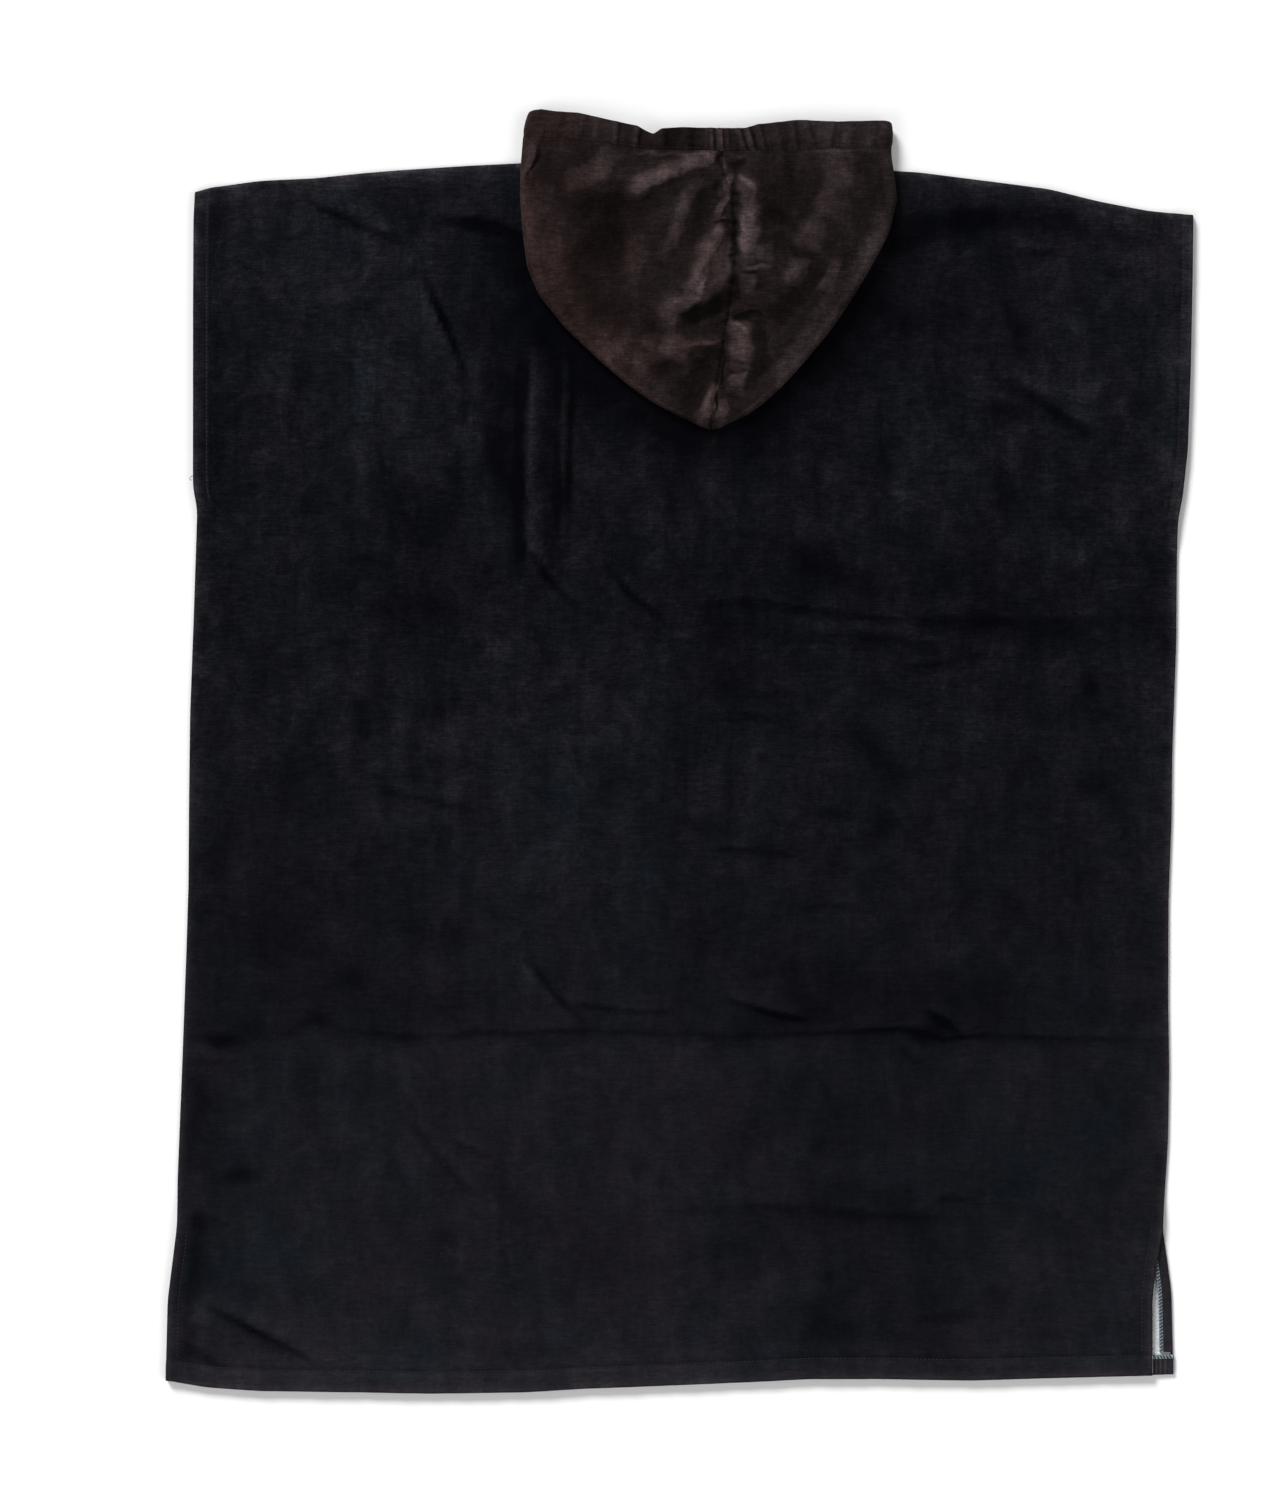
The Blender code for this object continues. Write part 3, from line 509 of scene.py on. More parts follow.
def back_height(x, y, u, v):
    """Height of the back's velour side, in the folds that it lies in."""
    in_from_side, up = from_edges(u, v)[:2]
    return (
        LAYER + CLOTH
        + 2 * LAYER * turned_share(u, v)
        + throat_lift(x, y)
        + back_relief(x, y) * rise(up, 0.0, HEM_FLAT) * rise(in_from_side, 0.0, EDGE_FLAT)
        + stitched_relief(u, v)
    )


def back_cover(x, y):
    """Height of the back's velour side away from its edges, for what lies on it."""
    return LAYER + CLOTH + throat_lift(x, y) + back_relief(x, y)


def painted_edge_light(u, v):
    """Painted highlights round the turned edges, along the bottom hem, at the shoulders and on the
    armhole stitching, and painted shade in the groove beside that stitching."""
    in_from_side, up, top, inside = from_edges(u, v)
    left = u < 0.5
    armhole = rise(up - ARMHOLE_START, *ARMHOLE_RIM)
    by_side = np.where(left, LEFT_RIM - ARMHOLE_RIM_LOSS * armhole, RIGHT_RIM)
    by_end = 1 - END_RIM_LOSS * rise(u, 0.45, 0.6) * rise(v, 0.4, 0.6)
    near_end = rise(in_from_side - np.minimum(up, top), *RIM_TURN)
    rim = by_side + (by_end - by_side) * near_end
    edge = rim * sum(share * np.exp(-inside / reach) for share, reach in RIM_FALL)
    edge = edge + EDGE_LIGHT[0] * np.exp(-inside / EDGE_LIGHT[1])
    hem = HEM_LIGHT[0] * (1 - rise(up - HEM_STITCH, *HEM_LIGHT[1:]))
    amount, place, width = SEAM_ALLOWANCE_LIGHT
    shoulder = SHOULDER_LIGHT[0] * by_end * bell(top, SHOULDER_LIGHT[1])
    shoulder = shoulder + amount * bell(top - place, width) * (1 - rise(u, 0.22, 0.31))
    off_stitch = in_from_side - side_stitch(u, up)
    stitched = np.where(left, *STITCH_LIGHT[:2]) * bell(off_stitch, STITCH_LIGHT[2])
    place, width = STITCH_GROOVE_SHADE[2:]
    stitched = stitched - np.where(left, *STITCH_GROOVE_SHADE[:2]) * bell(off_stitch - place, width)
    return edge + hem + shoulder + stitched * armhole


def edge_highlight_tint(u, v, nap):
    """How far the velour takes the warmer, greyer tone of its painted highlights: at the edges, and
    a little where it is painted lighter.
    """
    inside = from_edges(u, v)[3]
    return np.clip(bell(inside, 8.0) + 0.10 * np.clip(nap, 0.0, 2.0), 0.0, 1.0)


def back_nap_and_painted_light(x, y, u, v):
    """How much lighter or darker than plain the velour is: painted highlights and shade at its
    edges, folds and beside the hood, and the patches of its pressed and brushed pile.
    """
    wave_x = 7 * np.sin(y / 21 + 1) + 4 * np.sin(y / 8.3 + x / 31)
    wave_y = 5 * np.sin(x / 24) + 3 * np.sin(x / 9.1 + y / 27)
    nap = painted_edge_light(u, v) + painted_fold_shading(BACK_FOLDS, x, y) + soft_lines(PAINTED_SHADE_AND_LIGHT_LINES, x, y)
    for _, left, right, bottom, top, soft, amount in PRESSED_PANELS_AND_PAINTED_SHADOW:
        px, py = x + wave_x, y + wave_y
        across = rise(px, left - soft, left + soft) * (1 - rise(px, right - soft, right + soft))
        up = rise(py, bottom - soft, bottom + soft) * (1 - rise(py, top - soft, top + soft))
        nap = nap + PANEL_STRENGTH * amount * across * up
    for at_x, at_y, half_width, half_height, amount in PILE_AND_PAINTED_LIGHT_MARKS:
        px = x + wave_x * min(1.0, half_width / 20)
        py = y + wave_y * min(1.0, half_height / 20)
        off = ((px - at_x) / half_width) ** 2 + ((py - at_y) / half_height) ** 2
        nap = nap + MARK_STRENGTH * amount * np.exp(-off * (0.4 + 0.6 * off))
    return nap


def warmth(x, y):
    """How far the black of the velour leans to its warmer shade."""
    return sum(
        amount * bell(x - at_x, half_width) * bell(y - at_y, half_height)
        for at_x, at_y, half_width, half_height, amount in WARMTH
    )


def past_edge(turns, depth=0.0, cells=0):
    """Steps of the cloth past an edge: outward and down in radii, then back by a distance."""
    turned = [(math.sin(turn), 1 - math.cos(turn), 0.0) for turn in turns]
    return np.array(turned + [(0.0, 2.0, depth * (k + 1) / cells) for k in range(cells)])


def with_edges(main, low_steps, high_steps):
    """Shares of the grid's lines, the steps past both ends, and the sign of each line's side."""
    share = np.concatenate((np.zeros(len(low_steps)), main, np.ones(len(high_steps))))
    steps = np.concatenate((low_steps[::-1], np.zeros((len(main), 3)), high_steps))
    sign = np.concatenate((-np.ones(len(low_steps)), np.zeros(len(main)), np.ones(len(high_steps))))
    return share, steps, sign


def blend_sides(u, v, low, high, left, right):
    """A patch between its four sides: low and high run along u, left and right along v."""
    corners = (1 - v) * ((1 - u) * low[0, 0] + u * low[0, -1])
    corners = corners + v * ((1 - u) * high[0, 0] + u * high[0, -1])
    return (1 - v) * low + v * high + (1 - u) * left + u * right - corners


def panel_blocks(u_sign, v_sign, at):
    """Blocks of two by two cells that are cloth: none at the corners, and past a seamed side only
    the few that turn down into the seam."""
    past_side = (u_sign[:-1] != 0) | (u_sign[1:] != 0)
    past_end = (v_sign[:-1] != 0) | (v_sign[1:] != 0)
    from_side = np.minimum(np.arange(len(past_side)), np.arange(len(past_side))[::-1])
    past_seam = from_side < len(FOLD_TURNS) + UNDER_CELLS - len(SEAM_TURNS)
    middle = (at[:-1] + at[1:]) / 2
    turned = ((middle > HEM_DEPTH + GAP) & (middle < SLIT_LENGTH)) | (middle > ARMHOLE_START)
    kept = ~(past_end[:, None] & past_side) & ~(~turned[:, None] & past_seam)
    return kept[::2, ::2] & kept[1::2, 1::2]


def panel_grid(right_x, low_right, neck_drop, across, up, height, turn):
    """Points of a panel's velour side, with its turned edges, and which blocks of cells are cloth.

    turn is -1 where the edges are turned down and 1 where they are turned up.
    """
    side_steps = past_edge(FOLD_TURNS, TURNING - FOLD_RADIUS, UNDER_CELLS)
    u, u_steps, u_sign = with_edges(across / PANEL_WIDTH, side_steps, side_steps)
    hem_steps = past_edge(FOLD_TURNS, HEM_DEPTH - FOLD_RADIUS, UNDER_CELLS)
    v, v_steps, v_sign = with_edges(up / PANEL_LENGTH, hem_steps, past_edge(SEAM_TURNS))
    u_row, v_column = u[None, :], v[:, None]
    at, below = v_column * PANEL_LENGTH, v_sign[:, None] < 0
    slit = 1 - rise(at, SLIT_LENGTH, SLIT_LENGTH + TURN_FADE)
    folded = np.maximum(slit, rise(at, ARMHOLE_START - TURN_FADE, ARMHOLE_START))
    side_radius = SEAM_RADIUS + (FOLD_RADIUS - SEAM_RADIUS) * folded

    # the panel between its four sides, each in from the outline by the radius of its edge
    low_left, top_left = left_x(LEFT_SIDE[-1][1]), left_x(LEFT_SIDE[0][1])
    bottom_x = low_left + u_row * (right_x(low_right) - low_left)
    bottom_y = hem_y(bottom_x) + FOLD_RADIUS
    top_x = top_left + u_row * (right_x(RIGHT_SIDE_BACK[0][1]) - top_left)
    top_y = neckline_y(top_x, neck_drop) - SEAM_RADIUS
    left_y = bottom_y[0, 0] + v_column * (top_y[0, 0] - bottom_y[0, 0])
    right_y = bottom_y[0, -1] + v_column * (top_y[0, -1] - bottom_y[0, -1])
    x = blend_sides(u_row, v_column, bottom_x, top_x, left_x(left_y), right_x(right_y))
    inset = side_radius * (1 - np.clip(v_steps[:, 1:2], 0.0, 1.0))  # less round the ends
    x = x + inset * (1 - 2 * u_row)
    y = blend_sides(u_row, v_column, bottom_y, top_y, left_y, right_y)
    z = height(x, y, u_row + 0 * v_column, v_column + 0 * u_row)

    # its edges: out round the turn and back under the panel, or down into the seam
    x = x + u_sign * (side_radius * u_steps[:, 0] - u_steps[:, 2])
    end_radius = np.where(below, FOLD_RADIUS, SEAM_RADIUS)
    y = y + (v_sign[:, None] * (end_radius * v_steps[:, :1] - v_steps[:, 2:]))
    seam_depth = np.abs(z - SEAM_HEIGHTS[turn]) / (1 - math.cos(SEAM_TURNS[-1]))
    at_neck = 1 - rise(np.abs(x - NECK_X) - NECK_HALF_WIDTH, *NECK_EASE)
    end_depth = SEAM_RADIUS * at_neck + seam_depth * (1 - at_neck)
    end_depth = np.where(below, FOLD_RADIUS, end_depth)
    side_depth = FOLD_RADIUS * folded + seam_depth * (1 - folded)
    z = z + turn * (side_depth * u_steps[:, 1] + end_depth * v_steps[:, 1:2])
    return np.stack((x, y, z), axis=2), panel_blocks(u_sign, v_sign, at[:, 0]), (u_row, v_column)


class Socket:
    """An output in a material's nodes. Sums and products of sockets add their Math nodes."""

    def __init__(self, tree, output=None):
        self.tree = tree
        self.output = output

    def node(self, kind, settings=(), inputs=(), output=0):
        """Adds any node: its settings first, then the values or links of its inputs."""
        made = self.tree.nodes.new(kind)
        for name, value in dict(settings).items():
            if name == "stops":
                ramp = made.color_ramp
                while len(ramp.elements) < len(value):
                    ramp.elements.new(0.5)
                for element, (place, colour) in zip(ramp.elements, value):
                    element.position = place
                    element.color = colour
            else:
                setattr(made, name, value)
        for name, value in dict(inputs).items():
            if isinstance(value, Socket):
                self.tree.links.new(value.output, made.inputs[name])
            else:
                made.inputs[name].default_value = value
        return Socket(self.tree, made.outputs[output])

    def math(self, operation, first, second):
        return self.node("ShaderNodeMath", {"operation": operation}, {0: first, 1: second})

    def __add__(self, other):
        return self.math("ADD", self, other)

    def __radd__(self, other):
        return self.math("ADD", other, self)

    def __sub__(self, other):
        return self.math("SUBTRACT", self, other)

    def __rsub__(self, other):
        return self.math("SUBTRACT", other, self)

    def __mul__(self, other):
        return self.math("MULTIPLY", self, other)

    def __rmul__(self, other):
        return self.math("MULTIPLY", other, self)


def new_material(name, roughness, gloss, **others):
    """A material with a Principled shader, and a socket to build its nodes from.

    The shader's own sockets are set here: others are their names with _ for a space.
    """
    material = bpy.data.materials.new(name)
    material.use_nodes = True
    shader = material.node_tree.nodes["Principled BSDF"]
    shader.inputs["Roughness"].default_value = roughness
    shader.inputs["Specular IOR Level"].default_value = gloss
    for socket, value in others.items():
        shader.inputs[socket.replace("_", " ")].default_value = value
    return material, Socket(material.node_tree)


def surfaced(material, start, colour, shade, bump):
    """Links the material's shader to its colour, in its shades, and to its bump."""
    toned = start.node("ShaderNodeVectorMath", {"operation": "SCALE"}, {0: colour, "Scale": shade})
    inputs = material.node_tree.nodes["Principled BSDF"].inputs
    material.node_tree.links.new(toned.output, inputs["Base Color"])
    material.node_tree.links.new(bump.output, inputs["Normal"])
    return material


def noise(start, where, scale, detail=2.0, roughness=0.5, distortion=0.0):
    """Noise on the given coordinates, in features per metre."""
    return start.node(
        "ShaderNodeTexNoise",
        {"noise_dimensions": "3D"},
        {"Vector": where, "Scale": scale, "Detail": detail, "Roughness": roughness,
         "Distortion": distortion},
    )


def layer(start, name):
    """What shell keeps with the cloth's points under this name, and 0 where it keeps nothing."""
    return start.node("ShaderNodeAttribute", {"attribute_name": name}, output="Fac")


def mixed(start, share, colour, other):
    """A colour that turns into the other as share goes from 0 to 1."""
    return start.node(
        "ShaderNodeMix", {"data_type": "RGBA"}, {0: share, 6: colour, 7: other}, output=2
    )


def velour(name, cool, warm, highlight_colour, drift, contrast, calm, gloss, tint, sheen, sheen_tint):
    """Velour towelling: sheared pile that lies in clouds and streaks, over fine ribs of the ground.

    Its hue wanders between a cool and a warm shade, and drift is how fast it turns warm from left
    to right. The third colour is the greyer tone of its painted edge highlights. contrast is how
    uneven the pile is, and calm the share of that near the hem, where the cloth was pressed flat.
    """
    material, start = new_material(
        name, 0.75, gloss, Specular_Tint=(*tint, 1.0), Sheen_Weight=sheen, Sheen_Roughness=0.35,
        Sheen_Tint=(*sheen_tint, 1.0),
    )
    place = start.node("ShaderNodeTexCoord", output="Object")
    upright = start.node("ShaderNodeMapping", (), {"Vector": place, "Scale": (1.0, 0.30, 1.0)})
    level = start.node("ShaderNodeMapping", (), {"Vector": place, "Scale": (0.22, 1.0, 1.0)})
    across, up = (start.node("ShaderNodeSeparateXYZ", (), {0: place}, output=o) for o in "XY")
    clouds = noise(start, place, 24.0, 4.0, 0.85, 0.5)
    bands = noise(start, upright, 44.0, 3.0, 0.8, 0.2)
    dashes = noise(start, level, 330.0, 3.0, 0.8, 0.2)
    pile = noise(start, place, 420.0, 3.0, 0.8)
    tufts = noise(start, place, 1500.0, 2.0, 0.6)
    wander = noise(start, place, 60.0, 1.0)
    ribs = start.math("SINE", up * (2 * math.pi / RIB_PITCH) + wander * 9.0, 0.0)
    clouded = (clouds - 0.5) * 2.5 + (bands - 0.5) * 1.7 + (dashes - 0.5) * 1.9
    fine = (pile - 0.5) * 1.6 + ribs * 0.06
    pressed = start.node(
        "ShaderNodeMapRange", {"interpolation_type": "SMOOTHSTEP"},
        {0: up, 1: -0.34, 2: 0.18, 3: calm, 4: 1.0},
    )
    uneven = start.math("EXPONENT", (clouded + fine) * pressed * contrast, 0.0)
    # this layer holds painted highlights and shade, with the pile's own lighter and darker patches
    shade = uneven * start.math("MAXIMUM", 1.0 + layer(start, "nap"), 0.12)
    hue = noise(start, place, 12.0, 5.0, 0.7) * 0.85 + 0.075 + across * drift
    warmer = start.node(
        "ShaderNodeValToRGB", {"stops": ((0.38, (0, 0, 0, 1)), (0.62, (1, 1, 1, 1)))},
        {0: hue + layer(start, "warmth")},
    )
    tone = mixed(start, warmer, (*cool, 1.0), (*warm, 1.0))
    # the greyer tone of the painted edge highlights
    tone = mixed(start, layer(start, "wear"), tone, (*highlight_colour, 1.0))
    rumples = start.node(
        "ShaderNodeBump", (),
        {"Strength": 1.0, "Distance": 0.0022, "Height": (clouds + bands * 0.4) * pressed},
    )
    bump = start.node(
        "ShaderNodeBump", (),
        {"Strength": 0.35, "Distance": 0.0006,
         "Height": pile * 0.6 + dashes * 0.3 + tufts * 0.5 + ribs * 0.10, "Normal": rumples},
    )
    return surfaced(material, start, tone, shade, bump)


def terry(name, colour):
    """The reverse of the towelling: short loops of undyed cotton."""
    material, start = new_material(name, 0.95, 0.1, Sheen_Weight=0.2)
    place = start.node("ShaderNodeTexCoord", output="Object")
    loops = start.node(
        "ShaderNodeTexVoronoi", {"feature": "SMOOTH_F1"},
        {"Vector": place, "Scale": 520.0, "Smoothness": 0.6}, output="Distance",
    )
    clouds = noise(start, place, 60.0, 3.0)
    # painted shade between the loops, lighter on their tops
    shade = 1.04 - loops * 0.28 + (clouds - 0.5) * 0.12
    bump = start.node(
        "ShaderNodeBump", (), {"Strength": 0.7, "Distance": 0.001, "Height": 1.0 - loops}
    )
    return surfaced(material, start, colour, shade, bump)


RIB_PITCH = 0.0027
WHITE_COTTON = (0.80, 0.83, 0.85)
blue_black_velour = velour(
    "blue_black_velour", (0.00356, 0.0046, 0.0058), (0.00512, 0.0044, 0.0055),
    highlight_colour=(0.0052, 0.0047, 0.0056), drift=0.0, contrast=1.25, calm=0.5,
    gloss=0.045, tint=(0.60, 0.63, 1.0), sheen=0.050, sheen_tint=(0.60, 0.63, 1.0),
)
white_terry = terry("white_terry", WHITE_COTTON)


def new_piece(name, points, faces, materials, sharp):
    """An object with a smooth mesh from points in millimetres, sharp past so many degrees."""
    mesh = bpy.data.meshes.new(name)
    mesh.from_pydata((np.asarray(points) * MM).tolist(), [], faces)
    for material in materials:
        mesh.materials.append(material)
    mesh.shade_smooth()
    mesh.set_sharp_from_angle(angle=math.radians(sharp))
    piece = bpy.data.objects.new(name, mesh)
    bpy.context.scene.collection.objects.link(piece)
    return piece


def unit(vectors):
    """The same directions, each one long."""
    return vectors / np.maximum(np.linalg.norm(vectors, axis=-1, keepdims=True), 1e-9)


def reverse_side(outer, cells, out):
    """The reverse, a cloth's thickness in from every second row and column of the velour side."""
    facing = np.cross(outer[1:, 1:] - outer[:-1, :-1], outer[1:, :-1] - outer[:-1, 1:])
    facing = out * facing * cells[:, :, None]
    normal = np.zeros_like(outer)
    for part in (np.s_[:-1, :-1], np.s_[1:, :-1], np.s_[:-1, 1:], np.s_[1:, 1:]):
        normal[part] += facing
    return (outer - CLOTH * unit(normal))[::2, ::2]


def rim_faces(kept, number, behind):
    """Faces along the cut edges of the cloth, each from three points of the velour side to two of
    the reverse."""
    bordered = np.pad(kept, 1)
    corners = ((0, 0), (0, 2), (2, 2), (2, 0))
    rims = []
    for side, (dr, dc) in enumerate(((-1, 0), (0, 1), (1, 0), (0, -1))):
        beside = bordered[1 + dr:1 + dr + kept.shape[0], 1 + dc:1 + dc + kept.shape[1]]
        r, c = np.nonzero(kept & ~beside)
        (ar, ac), (br, bc) = corners[side], corners[(side + 1) % 4]
        rims.append(np.stack((
            number[2 * r + br, 2 * c + bc],
            number[2 * r + (ar + br) // 2, 2 * c + (ac + bc) // 2],
            number[2 * r + ar, 2 * c + ac],
            behind[r + ar // 2, c + ac // 2],
            behind[r + br // 2, c + bc // 2],
        ), 1))
    return np.concatenate(rims)


def shell(name, outer, kept, out, materials, **layers):
    """A sheet of cloth from a grid of points on its velour side.

    Its reverse has half as many rows and columns. kept says which blocks of two by two cells are
    cloth, and out is 1 where columns, rows and the velour side are right-handed, or else -1. Each
    layer, such as the pile's painted highlights and shade, is kept with the velour side's points
    for the material to read.
    """
    cells = np.repeat(np.repeat(kept, 2, axis=0), 2, axis=1)
    inner = reverse_side(outer, cells, out)
    number = np.arange(outer[:, :, 0].size).reshape(outer.shape[:2])
    behind = number.size + np.arange(inner[:, :, 0].size).reshape(inner.shape[:2])
    r, c = np.nonzero(cells)
    velour_faces = np.stack(
        (number[r, c], number[r, c + 1], number[r + 1, c + 1], number[r + 1, c]), 1
    )
    r, c = np.nonzero(kept)
    reverse_faces = np.stack(
        (behind[r, c], behind[r + 1, c], behind[r + 1, c + 1], behind[r, c + 1]), 1
    )
    parts = (velour_faces, reverse_faces, rim_faces(kept, number, behind))
    used = np.unique(np.concatenate([np.ravel(part) for part in parts]))
    place = np.full(number.size + behind.size, -1)
    place[used] = np.arange(len(used))
    faces = [face[::out] for part in parts for face in place[part].tolist()]
    points = np.concatenate((outer.reshape(-1, 3), inner.reshape(-1, 3)))[used]
    piece = new_piece(name, points, faces, materials, sharp=62)
    on_reverse = np.zeros(len(faces), int)
    on_reverse[len(velour_faces):len(velour_faces) + len(reverse_faces)] = 1
    piece.data.polygons.foreach_set("material_index", on_reverse)
    for layer_name, shares in layers.items():
        values = np.zeros(place.size)
        values[:number.size] = np.ravel(shares)
        kept_layer = piece.data.attributes.new(layer_name, "FLOAT", "POINT")
        kept_layer.data.foreach_set("value", values[used])
    piece.data.update()
    return piece


back_across = spaced(PANEL_WIDTH, BACK_COLUMNS, COLUMN_CROWDING)
back_up = spaced(PANEL_LENGTH, BACK_ROWS, ROW_CROWDING)
back_points, back_kept, back_shares = panel_grid(
    right_x_back, RIGHT_SIDE_BACK[-1][1], BACK_NECK_DROP, back_across, back_up, back_height,
    turn=-1,
)
# the back's pile patches with its painted highlights and shade
back_nap_and_light = back_nap_and_painted_light(back_points[:, :, 0], back_points[:, :, 1], *back_shares)
back = shell(
    "back", back_points, back_kept, 1, (blue_black_velour, white_terry), nap=back_nap_and_light,
    wear=edge_highlight_tint(*back_shares, back_nap_and_light),
    warmth=warmth(back_points[:, :, 0], back_points[:, :, 1]),
)
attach(back, "root")
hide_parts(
    "back_panel", "back_hem", "back_armhole_hem_left", "back_armhole_hem_right",
    "back_slit_turn_left", "back_slit_turn_right",
)


def place_on(points, across_lines, up_lines, across, up):
    """Points on a panel's velour side, at distances from its left and bottom edges."""
    first = len(FOLD_TURNS) + UNDER_CELLS
    column = first + np.interp(across, across_lines, np.arange(len(across_lines)))
    row = first + np.interp(up, up_lines, np.arange(len(up_lines)))
    c, r = column.astype(int), row.astype(int)
    s, t = (column - c)[:, None], (row - r)[:, None]
    return (1 - t) * ((1 - s) * points[r, c] + s * points[r, c + 1]) + t * (
        (1 - s) * points[r + 1, c] + s * points[r + 1, c + 1]
    )


def along(line, at):
    """Points at distances along a line of points."""
    runs = np.concatenate(((0.0,), np.cumsum(np.linalg.norm(np.diff(line, axis=0), axis=1))))
    return np.stack([np.interp(at, runs, line[:, k]) for k in range(3)], 1), runs[-1]


def stitches(line, pitch, share=0.72, proud=0.45, sunk=0.5):
    """Short runs of thread that rise from a line and dip back into it."""
    length = along(line, np.zeros(1))[1]
    paths = []
    for start in np.arange(pitch, length - pitch, pitch):
        at = start + pitch * share * np.array((0.0, 0.18, 0.5, 0.82, 1.0))
        points = along(line, at)[0]
        points[:, 2] += (-sunk, 0.6 * proud, proud, 0.6 * proud, -sunk)
        paths.append(points)
    return paths


def thread(name, paths, radius, material, sides=5):
    """One mesh of thin round threads, each along its own points."""
    around = np.linspace(0.0, 2 * math.pi, sides, endpoint=False)
    points, faces = [], []
    for path in paths:
        path = np.asarray(path, float)
        ahead = unit(np.gradient(path, axis=0))
        beside = np.cross(ahead, (0.0, 0.0, 1.0))
        upright = np.linalg.norm(beside, axis=1, keepdims=True) < 0.05
        beside = unit(np.where(upright, (1.0, 0.0, 0.0), beside))
        below = np.cross(ahead, beside)
        first = len(points)
        for centre, side, low in zip(path, beside, below):
            points += [centre + radius * (math.cos(a) * side + math.sin(a) * low) for a in around]
        for ring in range(len(path) - 1):
            low = first + ring * sides
            for k in range(sides):
                next_k = (k + 1) % sides
                faces.append((low + k, low + next_k, low + sides + next_k, low + sides + k))
        last = first + (len(path) - 1) * sides
        faces.append(tuple(range(first + sides - 1, first - 1, -1)))
        faces.append(tuple(range(last, last + sides)))
    return new_piece(name, points, faces, [material], sharp=70)


def thread_material(name, colour, gloss):
    """Spun sewing thread, with a little change of shade along it."""
    material, start = new_material(name, 0.55, gloss)
    place = start.node("ShaderNodeTexCoord", output="Object")
    shade = 1.0 + (noise(start, place, 300.0, 2.0) - 0.5) * 0.5
    twist = noise(start, place, 2400.0, 1.0)
    bump = start.node("ShaderNodeBump", (), {"Strength": 0.4, "Distance": 0.0003, "Height": twist})
    return surfaced(material, start, colour, shade, bump)


STITCH_PITCH = 3.6
STITCH_RADIUS = 0.30
dark_thread = thread_material("dark_thread", (0.021, 0.023, 0.028), 0.15)
hem_run = np.linspace(TURNING, PANEL_WIDTH - TURNING, 400)
sleeve_run = np.linspace(ARMHOLE_START, PANEL_LENGTH - 6.0, 160)
slit_run = np.linspace(HEM_STITCH, SLIT_LENGTH, 80)
back_lines = [(hem_run, np.full_like(hem_run, HEM_STITCH))]
for run, left, right in ((sleeve_run, *ARMHOLE_STITCHES), (slit_run, SLIT_STITCH, SLIT_STITCH)):
    back_lines.append((np.full_like(run, left), run))
    back_lines.append((np.full_like(run, PANEL_WIDTH - right), run))
back_stitching = thread(
    "back_stitching",
    [
        path for across, up in back_lines
        for path in stitches(place_on(back_points, back_across, back_up, across, up), STITCH_PITCH)
    ],
    STITCH_RADIUS, dark_thread,
)
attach(back_stitching, "root")

LOOSE_END = (
    # a thread end hangs out at the foot of the left armhole, where its stitching was fastened
    (-437.6, 249.0, 7.4), (-439.6, 248.4, 7.0), (-441.2, 247.4, 6.0), (-442.0, 245.8, 5.0),
    (-441.2, 244.6, 4.4), (-440.2, 245.4, 4.2),
)
LOOSE_RADIUS = 0.28
loose_end = thread("loose_thread_end", [LOOSE_END], LOOSE_RADIUS, dark_thread)
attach(loose_end, "root")

# ---------------------------------------------------------------- front panel
# The same towelling laid velour side down, so that its white reverse faces the back. Its hems
# and turnings are folded up on to that reverse, and show dark in the open slit at the right.
RIGHT_SIDE_FRONT = RIGHT_SIDE_BACK[:16] + (
    ("slit, spread",        -486.0,   442.4),
    ("hem corner",          -560.8,   444.2),
)
FRONT_NECK_DROP = 85.0
FRONT_COLUMNS = 170
FRONT_ROWS = 170
FRONT_COLUMN_CROWDING = ((0.0, 16.0, 5.0), (PANEL_WIDTH - 10, 11.0, 11.0))  # as the back's
FRONT_ROW_CROWDING = ((HEM_DEPTH, 6.0, 9.0), (SLIT_LENGTH, 8.0, 2.0))
HEM_END_X = 400.0  # right of here the turned-up hem shows where it ends in the slit
HEM_END_RIDGES = (428.9, 432.6, 437.0)  # x of the small folds there
RIDGE_WIDTH, RIDGE_HEIGHT = 0.9, 0.8
RIDGE_PAINTED_LIGHT, RIDGE_PAINTED_SHADE = 2.4, 0.9  # painted highlight on each, and painted shade beside it
OVERLOCK_WIDTH = 3.2
OVERLOCK_PITCH = 1.0
NEEDLE_PITCH = 3.0
NEEDLE_RUN = 2.2
LOOPER_RADIUS, NEEDLE_RADIUS = 0.34, 0.70
LOOPER_PATH = ((0.0, -0.5), (0.0, 0.3), (1.0, 0.3), (1.0, -0.4))  # share of the way in, height
NEEDLE_PATH = ((0.0, -0.1), (0.25, 0.8), (0.75, 0.8), (1.0, -0.1))
right_x_front = through(RIGHT_SIDE_FRONT)


def front_height(x, y, u, v):
    """The front's velour side lies flat on the surface below."""
    return np.zeros_like(x)


front_across = spaced(PANEL_WIDTH, FRONT_COLUMNS, FRONT_COLUMN_CROWDING)
front_up = spaced(PANEL_LENGTH, FRONT_ROWS, FRONT_ROW_CROWDING)
front_points, front_kept, front_shares = panel_grid(
    right_x_front, RIGHT_SIDE_FRONT[-1][1], FRONT_NECK_DROP, front_across, front_up, front_height,
    turn=1,
)
turned_up = np.arange(len(front_points))[:, None] < UNDER_CELLS + 2
